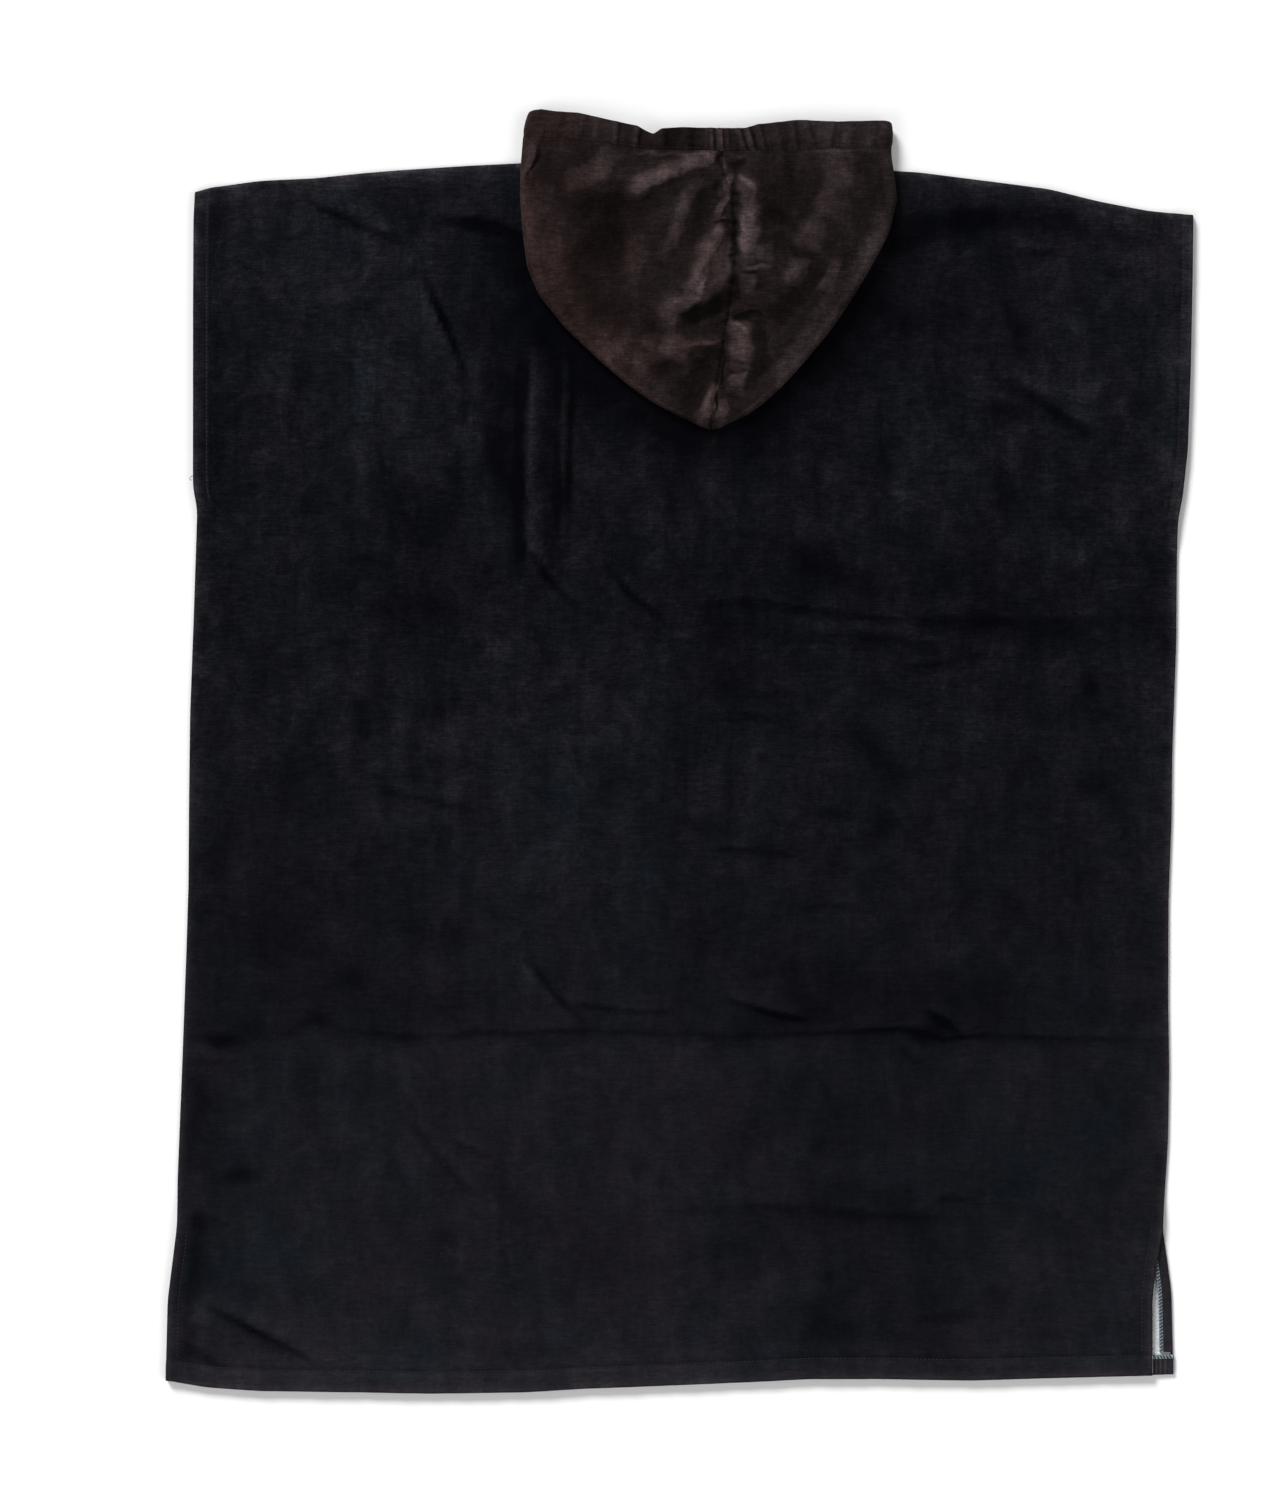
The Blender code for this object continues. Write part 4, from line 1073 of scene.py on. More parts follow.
# painted highlights on the edges and on the small ridges, and painted shade beside the ridges
front_painted_light = painted_edge_light(*front_shares)
for ridge_x in HEM_END_RIDGES:
    from_ridge = front_points[:, :, 0] - ridge_x
    on_ridge = bell(from_ridge, RIDGE_WIDTH) * turned_up
    beside_ridge = bell(from_ridge - 2 * RIDGE_WIDTH, RIDGE_WIDTH) * turned_up
    front_points[:, :, 2] += RIDGE_HEIGHT * on_ridge
    front_painted_light = front_painted_light + RIDGE_PAINTED_LIGHT * on_ridge - RIDGE_PAINTED_SHADE * beside_ridge
front = shell(
    "front", front_points, front_kept, -1, (blue_black_velour, white_terry), nap=front_painted_light,
    wear=edge_highlight_tint(*front_shares, front_painted_light),
)
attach(front, "root")
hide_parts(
    "front_panel", "front_hem", "front_armhole_hem_left", "front_armhole_hem_right",
    "front_slit_turn_left", "front_slit_turn_right",
)


def overlock(edge, inward):
    """White looper thread laid to and fro over a cut edge, with grey-blue needle thread on it."""
    length = along(edge, np.zeros(1))[1]

    def laid(begin, finish, outer_reach, inner_reach, path):
        """Thread from one place along the edge to another, between two distances inward."""
        reach = np.outer((outer_reach, inner_reach), inward)
        near, far = along(edge, np.array((begin, finish)))[0] + reach
        return np.array([near + share * (far - near) + (0.0, 0.0, up) for share, up in path])

    loops = []
    for start in np.arange(0.3, length - OVERLOCK_PITCH, OVERLOCK_PITCH):
        middle = start + OVERLOCK_PITCH / 2
        for begin in (start, start + OVERLOCK_PITCH):
            loops.append(laid(begin, middle, 0.0, OVERLOCK_WIDTH, LOOPER_PATH))
    needles = [
        laid(start, start + NEEDLE_RUN, 0.5, OVERLOCK_WIDTH - 0.3, NEEDLE_PATH)
        for start in np.arange(1.0, length - NEEDLE_RUN - 0.2, NEEDLE_PITCH)
    ]
    return loops, needles


up_side = front_shares[1][:, 0] * PANEL_LENGTH
in_slit = (up_side > HEM_DEPTH) & (up_side < SLIT_LENGTH)
hem_edge = front_points[0, :-len(FOLD_TURNS) - UNDER_CELLS]
white_paths, grey_paths = [], []
for edge, inward in (
    (front_points[in_slit, -1], (1.0, 0.0, 0.0)),
    (front_points[in_slit, 0], (-1.0, 0.0, 0.0)),
    (hem_edge[hem_edge[:, 0] > HEM_END_X], (0.0, -1.0, 0.0)),
):
    looped, needled = overlock(edge, inward)
    white_paths += looped
    grey_paths += needled
white_thread = thread_material("white_thread", (0.34, 0.38, 0.41), 0.2)
grey_thread = thread_material("grey_blue_thread", (0.022, 0.045, 0.065), 0.2)
overlock_loops = thread("overlock_loops", white_paths, LOOPER_RADIUS, white_thread, sides=4)
overlock_needles = thread("overlock_needles", grey_paths, NEEDLE_RADIUS, grey_thread, sides=4)
for piece in (overlock_loops, overlock_needles):
    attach(piece, "root")

# ---------------------------------------------------------------- hood
# A bag of two halves of dark brown velour towelling, joined along a seam from the casing over the
# crown to its tip. It is folded down on to the back, where its nape lies on the back panel, and
# its throat runs over the shoulders down to the front neckline.
HOOD_SECTIONS = (
    # y       left fold   seam    right fold   top of the upper layer
    (290.6,     27.4,     28.4,      29.6,     10.4),
    (292.0,     20.0,     28.5,      37.0,     11.4),
    (296.0,     12.0,     29.0,      44.0,     12.4),
    (303.0,     -3.0,     29.5,      60.0,     13.2),
    (314.0,    -25.0,     30.0,      75.5,     14.0),
    (330.0,    -48.0,     33.0,      93.0,     15.2),
    (352.0,    -74.0,     37.0,     113.0,     16.5),
    (380.0,   -104.0,     41.0,     136.0,     17.6),
    (408.0,   -127.0,     46.0,     155.0,     18.4),
    (434.0,   -138.0,     49.5,     170.6,     19.0),
    (465.0,   -142.0,     50.0,     187.0,     19.6),
    (497.0,   -144.5,     47.3,     195.0,     20.2),
    (525.0,   -143.8,     38.0,     191.4,     20.4),
    (537.0,   -142.6,     37.8,     189.6,     20.0),
    (549.0,   -141.2,     37.5,     190.0,     19.4),
    (566.0,   -136.4,     37.0,     190.4,     18.8),
)
FACE_EDGE = (
    # place                   x        y
    ("left corner",         -136.4,   574.8),
    ("left, highest",       -126.0,   577.7),
    ("left, stepping down", -113.0,   575.6),
    ("left",                 -92.0,   574.2),
    ("left, falling",        -58.0,   566.4),
    ("left, lower",          -39.0,   562.4),
    ("beside the notch",     -30.0,   557.4),
    ("notch",                -24.5,   555.0),
    ("other side of it",     -17.0,   560.0),
    ("left of the seam",       0.0,   561.2),
    ("seam",                  34.0,   560.6),
    ("right of the seam",     59.0,   560.4),
    ("right, rising",         68.0,   563.6),
    ("right",                105.0,   567.6),
    ("right, dipping",       140.0,   566.2),
    ("right, highest",       184.0,   567.4),
    ("right corner",         190.4,   565.2),
)
CASING_SEAM = (
    # place                   x        y
    ("left fold",           -141.0,   553.0),
    ("left",                -105.0,   551.0),
    ("left, falling",        -72.0,   547.0),
    ("left of the seam",     -38.0,   541.5),
    ("seam",                  37.5,   539.5),
    ("right of the seam",     70.0,   539.5),
    ("right",                135.0,   541.5),
    ("right fold",           190.0,   541.0),
)
LEAN = 1.4  # the folds and marks below lie this much nearer the tip than their y
SECTION_SOFTNESS = 5.0  # how far the bends between the sections are rounded off
HOOD_CROWN = 2.5  # how far the middle of a half swells above its sides
CROWN_WIDTH = 40.0  # less on a half that is narrower than this
FOLD_ROUND = 9.0  # how far the side folds bulge out
FOLD_WIDTH_SHARE = 0.55  # and no more than this share of a half
FOLD_FADE = 14.0  # the folds below die away so near the side folds
NAPE_NECK_SHARE = 0.14  # at the tip, how far in the nape's outer part reaches
SHOULDER_CLEARANCE = 1.0  # past the shoulder line, where the nape leaves the back
FLOOR_STEP = 8.0  # past the shoulder line, where the throat has come down to the surface
NECK_CLEARANCE = 1.0  # between the front neckline and the casing's seam
CASING_DEPTH = 20.0
CENTRE_FRONT_Y = 463.0  # where the two halves' casings meet at the throat
HOOD_TIP_Y = HOOD_SECTIONS[0][0]
CASING_ROW_Y = 545.0
FACE_ROW_Y = HOOD_SECTIONS[-1][0]
HOOD_ROWS = {
    # part of the lower layer: y of the upper layer above it, from and to
    "nape": (HOOD_TIP_Y, 525.0),
    "shoulder": (525.0, 531.0),
    "throat": (531.0, CASING_ROW_Y),
}
NAPE_CELLS, SHOULDER_CELLS, THROAT_CELLS = 180, 4, 10
HOOD_COLUMNS = (124, 10, 10, 30)  # upper layer, round the fold, to the neck, to the centre front

HOOD_FOLDS = (
    # fold, height, width to its left, width to its right, line from start to end
    ("big fold at the seam", 7.5, 8, 17,
     ((40, 480), (31, 464), (23, 447), (15, 431), (7, 417), (-4, 403), (-18, 388))),
    ("hollow under it", -1.6, 16, 8, ((50, 426), (34, 413), (18, 401), (-2, 390))),
    ("fold under the casing", 5.0, 10, 9,
     ((36, 537), (20, 532), (0, 524), (-20, 516), (-44, 508), (-72, 507), (-104, 512))),
    ("second fold down", 3.4, 8, 8, ((22, 515), (8, 500), (0, 480), (-6, 460), (-20, 440))),
    ("small fold beside the seam", 2.4, 4, 6, ((40, 518), (36, 500), (34, 482))),
    ("wide hollow, left", -1.6, 34, 34, ((-78, 484), (-66, 450), (-46, 416))),
    ("fold across the left", 3.0, 7, 6, ((40, 372), (24, 368), (6, 364), (-14, 356), (-28, 346))),
    ("lift of the left side", 2.4, 12, 12, ((-70, 372), (-40, 368), (-22, 360))),
    ("hollow by the tip", -2.6, 12, 10, ((34, 356), (18, 342), (4, 330))),
    ("pinch at the tip", 3.2, 6, 7, ((34, 334), (26, 322), (20, 308), (8, 299))),
    ("welt right of the seam", 5.0, 11, 8,
     ((50, 520), (62, 508), (64, 490), (61, 470), (60, 448), (58, 430), (66, 416))),
    ("pinch right of the seam", -2.4, 5, 7, ((46, 390), (56, 396), (72, 398))),
    ("first lump", 4.0, 9, 10, ((48, 388), (56, 378), (57, 364), (54, 350))),
    ("second lump", 3.2, 9, 9, ((56, 344), (50, 334), (40, 326))),
    ("valley to the right fold", -2.0, 14, 12, ((124, 444), (112, 424), (100, 404), (84, 388))),
    ("ridge beside it", 2.4, 9, 10, ((108, 444), (104, 430), (92, 412), (70, 402))),
    ("soft ridge, top right", 2.4, 15, 15, ((138, 540), (138, 512), (132, 484), (116, 462))),
    ("hollow, top right", -2.0, 15, 15, ((92, 524), (90, 496), (84, 466))),
    ("ripple at the right fold", 1.6, 8, 8, ((158, 505), (158, 476), (140, 436))),
    ("ripple at the left fold", 1.4, 8, 8, ((-120, 506), (-124, 470), (-112, 430))),
)
PAINTED_HIGHLIGHT_STRENGTH = 1.32  # on the painted highlights below
HOOD_PAINTED_LIGHT_AND_SHADE = (
    # painted highlights on the folds and painted shade in their hollows: lighter or darker by,
    # width to its left, width to its right, line
    ("big fold", 3.6, 4.5, 10,
     ((40, 473), (34, 465), (26, 453), (22, 440), (20, 430), (17, 418), (12, 408), (4, 401),
      (-4, 397), (-10, 387))),
    ("big fold, broad", 1.9, 12, 14, ((37, 464), (35, 448), (33, 432), (22, 421), (8, 409))),
    ("big fold, top", 2.4, 4, 4, ((37, 473), (31, 463))),
    ("big fold, knee", 1.8, 5, 4, ((21, 430), (16, 424), (14, 414))),
    ("big fold, lip", 2.4, 3.5, 6, ((15, 410), (7, 404.5), (1, 401.5))),
    ("big fold, foot", 1.3, 8, 10, ((2, 410), (-6, 402), (-9, 391), (-12, 378))),
    ("hollow under it", -0.92, 8, 9,
     ((59, 427), (48, 415), (37, 406), (22, 398), (4, 391), (-5, 387))),
    ("under the casing", 3.3, 5.5, 9,
     ((33, 536), (18, 532), (4, 526.5), (-10, 521), (-24, 514.5), (-38, 508.5), (-44, 501))),
    ("under the casing, low", 1.2, 5, 6, ((-28, 508), (-40, 502), (-52, 498))),
    ("under the casing, left", 1.2, 10, 10, ((-58, 543), (-66, 532), (-80, 520), (-104, 513))),
    ("wedge there", -0.40, 4, 5, ((-60, 511), (-69, 509), (-77, 516))),
    ("under the stitching, left", 1.3, 1.8, 1.8, ((28, 538), (-8, 538), (-38, 539))),
    ("under the stitching, right", 1.6, 1.8, 1.8, ((42, 537), (52, 536.5), (60, 536))),
    ("under the stitching, far right", 0.8, 1.8, 1.8, ((112, 541), (140, 542), (182, 542))),
    ("corner crease", -0.80, 2, 2,
     ((-126, 549), (-127, 540), (-131, 531), (-137, 521), (-139, 511))),
    ("beside the corner crease", 1.1, 3, 4, ((-131, 548), (-134, 536), (-140, 524), (-141, 512))),
    ("second fold", 1.0, 5, 6.5,
     ((22, 517), (12, 507), (5, 496), (1, 484), (-3, 470), (-8, 456), (-20, 444))),
    ("beside the seam", 3.4, 2.8, 3.4,
     ((44, 522), (43, 512), (42, 503), (39, 495), (35, 487), (30, 480))),
    ("beside the seam, patch", 2.0, 2.5, 2.5, ((36, 507), (35, 500))),
    ("beside the seam, dark", -0.75, 3, 3, ((36, 515), (32, 511), (30, 506))),
    ("wrinkle there", 1.4, 1.5, 1.5, ((40, 480.5), (33, 479.5), (25, 479))),
    ("pull line", -0.80, 1.8, 1.8, ((28, 476.5), (36, 477.5), (43, 477))),
    ("dark at the stitching", -0.7, 3, 3, ((33, 540), (33, 534), (36, 529))),
    ("bright beside it", 1.5, 2, 2, ((36, 535), (39, 531), (41, 525))),
    ("dark triangle", -0.55, 3, 5, ((44, 527), (50, 530), (58, 532))),
    ("seam valley", -0.60, 3, 3,
     ((47, 516), (48, 490), (48, 470), (47, 450), (46, 436), (49, 420))),
    ("pull at the seam, first", -0.6, 1.4, 1.4, ((41, 478), (46, 477), (51, 479))),
    ("pull at the seam, second", -0.6, 1.4, 1.4, ((42, 453.5), (47, 453), (53, 454))),
    ("pull at the seam, third", -0.5, 1.4, 1.4, ((41, 447), (45, 446), (49, 447))),
    ("pull at the seam, fourth", -0.5, 1.4, 1.4, ((47, 503), (52, 502), (56, 504))),
    ("welt", 2.9, 8.5, 7,
     ((53, 520), (58, 511), (61, 500), (61, 480), (60, 462), (60, 448), (60, 439))),
    ("welt, corner", 2.0, 2, 3, ((51, 521), (55, 516), (62, 510), (67, 505))),
    ("welt, foot", 1.5, 7, 7, ((59, 432), (60, 422), (61, 411))),
    ("welt, right", 1.7, 8, 8, ((73, 458), (76, 447), (76, 441))),
    ("lip", 1.8, 1.8, 2.2, ((56, 438), (60, 435.5), (68, 436), (76, 437.5), (82, 440))),
    ("under the lip", -0.60, 1.8, 2.2, ((56, 434), (63, 431.5), (70, 432))),
    ("small crumple", -0.45, 1.8, 1.8, ((68, 424), (73, 420), (78, 423))),
    ("pinch", -0.92, 3, 4.5, ((45, 390), (54, 393.5), (64, 395.5), (76, 397))),
    ("under the pinch", 2.6, 1.6, 2, ((42, 388), (50, 386), (57, 382.5), (62, 374))),
    ("first lump", 2.0, 10, 10, ((50, 390), (53, 378), (54, 368), (54, 356), (52, 343))),
    ("between the lumps", -0.55, 2.2, 2.2, ((42, 343), (52, 341.5), (59, 346))),
    ("second lump", 2.0, 8, 8, ((46, 340), (50, 333), (47, 322))),
    ("second lump, rim", 1.2, 1.6, 1.6, ((44, 338), (50, 341), (57, 341), (58, 334))),
    ("beside the lumps", -0.45, 6, 7, ((70, 392), (72, 376), (73, 356), (68, 340), (60, 324))),
    ("seam ditch, low", -0.75, 1.3, 1.3,
     ((40, 372), (38.5, 356), (38.5, 342), (35, 331), (32, 318), (31, 296))),
    ("across the left", 2.2, 1.6, 1.8,
     ((40, 373.5), (34, 371), (26, 369.5), (16, 367.5), (2, 366))),
    ("across the left, broad", 0.8, 3, 6, ((34, 372), (18, 369), (0, 366))),
    ("left patch", 1.5, 12, 12, ((8, 362), (-12, 366), (-34, 364))),
    ("left patch, outer", 1.0, 12, 12, ((-24, 352), (-46, 366), (-60, 376))),
    ("left patch, bright", 1.2, 5, 5, ((-9, 372), (-14, 364), (-13, 356))),
    ("tip", 4.4, 4, 5, ((33, 333), (29, 324), (26, 314), (22, 303))),
    ("tip, broad", 2.5, 7, 5, ((30, 316), (22, 306), (12, 298))),
    ("tip, right", 1.6, 5, 8, ((36, 320), (38, 308), (36, 298))),
    ("right rim, low", 1.2, 12, 12, ((52, 306), (78, 328), (100, 350), (124, 382), (142, 410))),
    ("right rim, high", 1.2, 10, 8, ((140, 408), (160, 434), (178, 462), (186, 490))),
    ("right valley", -0.45, 9, 9, ((122, 440), (110, 420), (96, 402), (84, 388))),
    ("right patch", 1.5, 9, 9, ((108, 446), (106, 434), (98, 422))),
    ("right patch, upper", 1.4, 12, 12, ((130, 474), (116, 466), (112, 452))),
    ("top right", 1.3, 13, 13, ((140, 542), (142, 520), (136, 496), (130, 480))),
    ("right fold, inner", 1.1, 6, 6, ((138, 446), (136, 430), (128, 414))),
    ("hollow, top right", -0.45, 14, 14, ((86, 526), (92, 500), (84, 478), (86, 446))),
    ("left edge", 1.1, 5, 6, ((-143, 532), (-143, 500), (-141, 465), (-139, 438))),
    ("left rim", 1.0, 18, 14, ((-136, 510), (-128, 488), (-124, 462), (-118, 428), (-100, 398))),
    ("left rim, low", 1.2, 16, 14, ((-104, 396), (-70, 362), (-40, 336), (-8, 308))),
    ("middle of the left", 0.8, 10, 10, ((-44, 470), (-40, 446), (-48, 424))),
    ("shade by the tip", -0.60, 13, 12, ((34, 362), (24, 346), (10, 330), (-4, 316))),
    ("shade, left", -0.36, 26, 28, ((-90, 492), (-70, 470), (-50, 430))),
    ("shade, upper left", -0.30, 10, 12, ((-100, 496), (-60, 492), (-16, 498))),
    ("shade between the folds", -0.45, 6, 6, ((24, 504), (16, 484), (14, 462))),
)
CASING_GATHERS = (
    # where the cloth is drawn in: x, half width, height, how far down it runs
    (24.0,  3.6, 2.0, 20.0),
    (33.0,  2.6, 1.2, 12.0),
    (58.0,  4.6, 2.3, 18.0),
    (71.0,  4.2, 1.7, 16.0),
    (-22.0, 5.0, 1.7, 15.0),
    (-46.0, 4.5, 1.0, 12.0),
    (-64.0, 5.0, 1.3, 14.0),
    (-84.0, 4.0, 0.8, 10.0),
    (-104.0, 5.0, 0.7, 10.0),
    (92.0,  5.0, 0.9, 12.0),
    (114.0, 5.0, 1.2, 14.0),
    (134.0, 5.0, 1.0, 12.0),
    (158.0, 6.0, 0.8, 10.0),
)
GATHER_SPREAD = 14.0  # so far down they are twice as wide
SEAM_GROOVE = (2.2, 2.2)  # width and depth
SEAM_PUCKER = 9.0
SEAM_GAP = 0.06
SEAM_ALLOWANCE = (
    # past the seam, down: the left half's allowance, pressed to the right under the other half
    (5.0, -3.6), (2.0, -3.3), (0.6, -2.7), (0.0, -1.2),
)

hood_y, *hood_columns = np.array(HOOD_SECTIONS).T
face_edge_y = through(FACE_EDGE, 1.5)
casing_seam_y = through(CASING_SEAM)


def hood_section(y):
    """Left fold, seam, right fold and height of the upper layer at y."""
    softness = SECTION_SOFTNESS * np.clip((y - HOOD_TIP_Y) / 60, 0, 1)
    steps = np.linspace(-softness, softness, 5)
    return [
        sum(np.interp(y + step, hood_y, column) for step in steps) / len(steps)
        for column in hood_columns
    ]


def throat_edge_y(x, side):
    """The face edge's lower half, from a corner of the hood down to the centre front."""
    corner = FACE_EDGE[0 if side < 0 else -1]
    t = np.clip(np.abs(x - NECK_X) / abs(corner[1] - NECK_X), 0.0, 1.0)
    return CENTRE_FRONT_Y + (corner[2] - CENTRE_FRONT_Y) * np.sin(math.pi / 2 * t)


def throat_seam_y(x, side):
    """The casing's seam there, a casing's depth in from the face edge and clear of the neckline."""
    slope = (throat_edge_y(x + 1, side) - throat_edge_y(x - 1, side)) / 2
    seam = throat_edge_y(x, side) - CASING_DEPTH * np.hypot(1.0, slope)
    return np.maximum(seam, neckline_y(x, FRONT_NECK_DROP) + NECK_CLEARANCE)


def gather_relief(x, y):
    """Small folds that run down from the casing where its stitching draws the cloth in."""
    below = np.clip(casing_seam_y(x) - y, 0, None)
    return sum(
        height * bell(below, run) * bell(x - at, width * (1 + below / GATHER_SPREAD))
        for at, width, height, run in CASING_GATHERS
    )


def crinkles(x, y):
    """Fine wrinkles of thin pile, in short bent runs."""
    bend = 6 * np.sin(x / 17 + y / 23) + 4 * np.sin(y / 11 - x / 29)
    return (
        0.30 * np.sin((x + bend) / 4.1 + y / 9.7) * np.sin((y - bend) / 15 + 1)
        + 0.25 * np.sin((y + bend) / 4.9 - x / 12.1) * np.sin((x + bend) / 19)
    )


def crown(off, width):
    """How far a half of this width swells at a distance from its seam."""
    high = HOOD_CROWN * min(width / CROWN_WIDTH, 1.0)
    return high * np.sin(math.pi * np.clip(off / width, 0, 1))


def hood_top(x, y, seam, width, top):
    """Height of the upper layer: the crown, its folds, and the seam with its puckers."""
    off = np.abs(x - seam)
    pucker = 0.8 * np.sin(y / 1.9) * np.sin(y / 5.3 + 1) * np.exp(-off / SEAM_PUCKER)
    edge = np.clip((width - off) / FOLD_FADE, 0, 1)
    slack = 0.35 * np.sin(x / 9.0 + y / 17.0) * np.sin(y / 13.0 - x / 29.0)
    folds = soft_lines(HOOD_FOLDS, x, y + LEAN)
    return (
        top + crown(off, width) + (folds + slack + crinkles(x, y)) * edge + gather_relief(x, y)
        + groove(off, *SEAM_GROOVE) + pucker
    )


def half_shares(columns, crowding=()):
    """How far each column lies along the upper layer, round the side fold, then on the lower layer
    from there to the neck and from the neck to the centre."""
    upper, nose, outer, inner = columns
    return (
        spaced(1.0, upper, crowding),
        np.radians(np.linspace(90.0, -90.0, nose + 1))[1:-1],
        np.linspace(0.0, 1.0, outer + 1),
        np.sin(np.linspace(0.0, math.pi / 2, inner + 1))[1:],
    )


def folded_over(above, below, bulge, around):
    """The upper layer, points round the side fold that bulges out by so much, and the lower."""
    (turn_x, high_y, high_z), (_, low_y, low_z) = above[-1], below[0]
    down = (1 - np.sin(around)) / 2
    nose = np.stack((
        turn_x + bulge * np.cos(around),
        high_y + down * (low_y - high_y),
        high_z + down * (low_z - high_z),
    ), 1)
    return np.concatenate((above, nose, below))


def lower_place(part, share, side, x, in_neck):
    """Points of the lower layer, which runs from the nape down the neck, or over the shoulder."""
    if in_neck:
        back_edge = neckline_y(x, BACK_NECK_DROP)
        front_edge = neckline_y(x, FRONT_NECK_DROP) + GAP
    else:
        back_edge = shoulder_y(x) + SHOULDER_CLEARANCE
        front_edge = shoulder_y(x) + FLOOR_STEP
    if part == "nape":
        y = HOOD_TIP_Y + share * (back_edge - HOOD_TIP_Y)
        z = back_cover(x, y) + GAP
    elif part == "shoulder":
        y = back_edge + share * (front_edge - back_edge)
        z = (back_cover(x, back_edge) + GAP) * (1 - rise(share, 0.0, 1.0))
    else:
        y = front_edge + share * (throat_seam_y(x, side) - front_edge)
        z = np.zeros_like(x)
    return np.stack((x, y, z), 1)


def hood_row(part, share, side, columns):
    """One row of a half: from the seam above, round the side fold, to the centre below."""
    upper, around, outer, inward = columns
    first, last = HOOD_ROWS[part]
    level = first + share * (last - first)
    left, seam, right, top = hood_section(level)
    fold = left if side < 0 else right
    width = abs(fold - seam)
    round_in = min(FOLD_ROUND, FOLD_WIDTH_SHARE * width)
    turn_x = fold - side * round_in
    neck_x = NECK_X + side * NECK_HALF_WIDTH
    middle = NECK_X + side * GAP / 2
    if part == "nape":
        narrow_x = turn_x + NAPE_NECK_SHARE * (seam - turn_x)
        neck_x = narrow_x + rise(share, 0.55, 1.0) * (neck_x - narrow_x)
        # the seam under the nape lies as far left as the one above lies right
        over = rise(share, 0.0, 0.3) * (2 - rise(share, 0.6, 1.0))
        middle = seam + over * (NECK_X - seam) + side * GAP / 2

    x = seam + side * SEAM_GAP / 2 + upper * (turn_x - seam - side * SEAM_GAP / 2)
    y = level + 0 * x
    if part == "throat":
        y = first + share * (casing_seam_y(x) - first)
    above = np.stack((x, y, hood_top(x, y, seam, width, top)), 1)
    if side < 0:
        under = above[0] + [(past, 0.0, down) for past, down in SEAM_ALLOWANCE]
        above = np.concatenate((under, above))
    below = np.concatenate((
        lower_place(part, share, side, turn_x + outer * (neck_x - turn_x), False),
        lower_place(part, share, side, neck_x + inward * (middle - neck_x), True),
    ))
    return folded_over(above, below, side * round_in, around)


def hood_grid(side):
    """Points on the outside of one half: upper layer, side fold, then nape, shoulder and throat."""
    columns = half_shares(HOOD_COLUMNS)
    rows = []
    for part, shares in (
        ("nape", spaced(1.0, NAPE_CELLS, ((0.0, 0.05, 3.0),))),
        ("shoulder", spaced(1.0, SHOULDER_CELLS)[1:]),
        ("throat", spaced(1.0, THROAT_CELLS)[1:]),
    ):
        rows += [hood_row(part, share, side, columns) for share in shares]
    return np.array(rows)


def painted_along_lines(rows, x, y):
    """Painted highlights and painted shade along lines, with a plain edge on the narrow side of
    each.
    """
    def profile(away, width, narrow):
        return np.exp(-np.where(narrow, (away / width) ** 6, (away / width) ** 3.2))

    across = x + 1.1 * np.sin(y / 3.3 + 2 * np.sin(x / 8))
    up = y + LEAN + 0.9 * np.sin(x / 3.7 + 2 * np.sin(y / 9))
    return along_lines(rows, across, up, profile)


def painted_hood_light(points, seam_column):
    """Painted highlights and shade on the upper layer, and none under it."""
    x, y = points[:, :, 0], points[:, :, 1]
    upper_cells, nose_cells = HOOD_COLUMNS[:2]
    fold_column = seam_column + upper_cells
    column = np.arange(points.shape[1])
    on_top = 1 - rise(column, fold_column + nose_cells - 3, fold_column + nose_cells + 1)
    # painted light and shade along the seam's puckers, and a painted sheen round the side fold
    puckers = 0.4 * np.sin(y / 1.7 + 2 * np.sin(y / 9)) * bell(column - seam_column, 3.5)
    painted_fold_sheen = 0.85 * rise(column, fold_column - 4, fold_column + 2)
    lighter = [row for row in HOOD_PAINTED_LIGHT_AND_SHADE if row[1] > 0]
    darker = [row for row in HOOD_PAINTED_LIGHT_AND_SHADE if row[1] < 0]
    light = painted_along_lines(lighter, x, y) * PAINTED_HIGHLIGHT_STRENGTH
    dark = np.clip(1 + painted_along_lines(darker, x, y), 0.15, 1.0)
    # with painted highlights on the gathers too
    shine = light + gather_relief(x, y) * 0.3 + puckers + painted_fold_sheen
    return ((1 + shine) * dark - 1) * on_top


def hood_kept(points, seam_column):
    """All blocks of a half but those inside the neckline, between its nape and its throat."""
    rows, columns = points.shape[:2]
    kept = np.ones(((rows - 1) // 2, (columns - 1) // 2), bool)
    first = NAPE_CELLS // 2
    neck = (seam_column + sum(HOOD_COLUMNS[:3])) // 2
    kept[first:first + SHOULDER_CELLS // 2, neck:] = False
    return kept


brown_velour = velour(
    "dark_brown_velour", (0.0086, 0.0052, 0.0049), (0.0096, 0.0068, 0.0071),
    highlight_colour=(0.0086, 0.0061, 0.0059), drift=0.9, contrast=1.0, calm=1.0,
    gloss=0.035, tint=(1.0, 0.82, 0.80), sheen=0.055, sheen_tint=(1.0, 0.80, 0.78),
)
for side, name in ((-1, "hood_left"), (1, "hood_right")):
    points = hood_grid(side)
    seam_column = len(SEAM_ALLOWANCE) if side < 0 else 0
    piece = shell(
        name + "_cloth", points, hood_kept(points, seam_column), side, (brown_velour, white_terry),
        nap=painted_hood_light(points, seam_column),
    )
    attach(piece, "root")
    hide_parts(name)

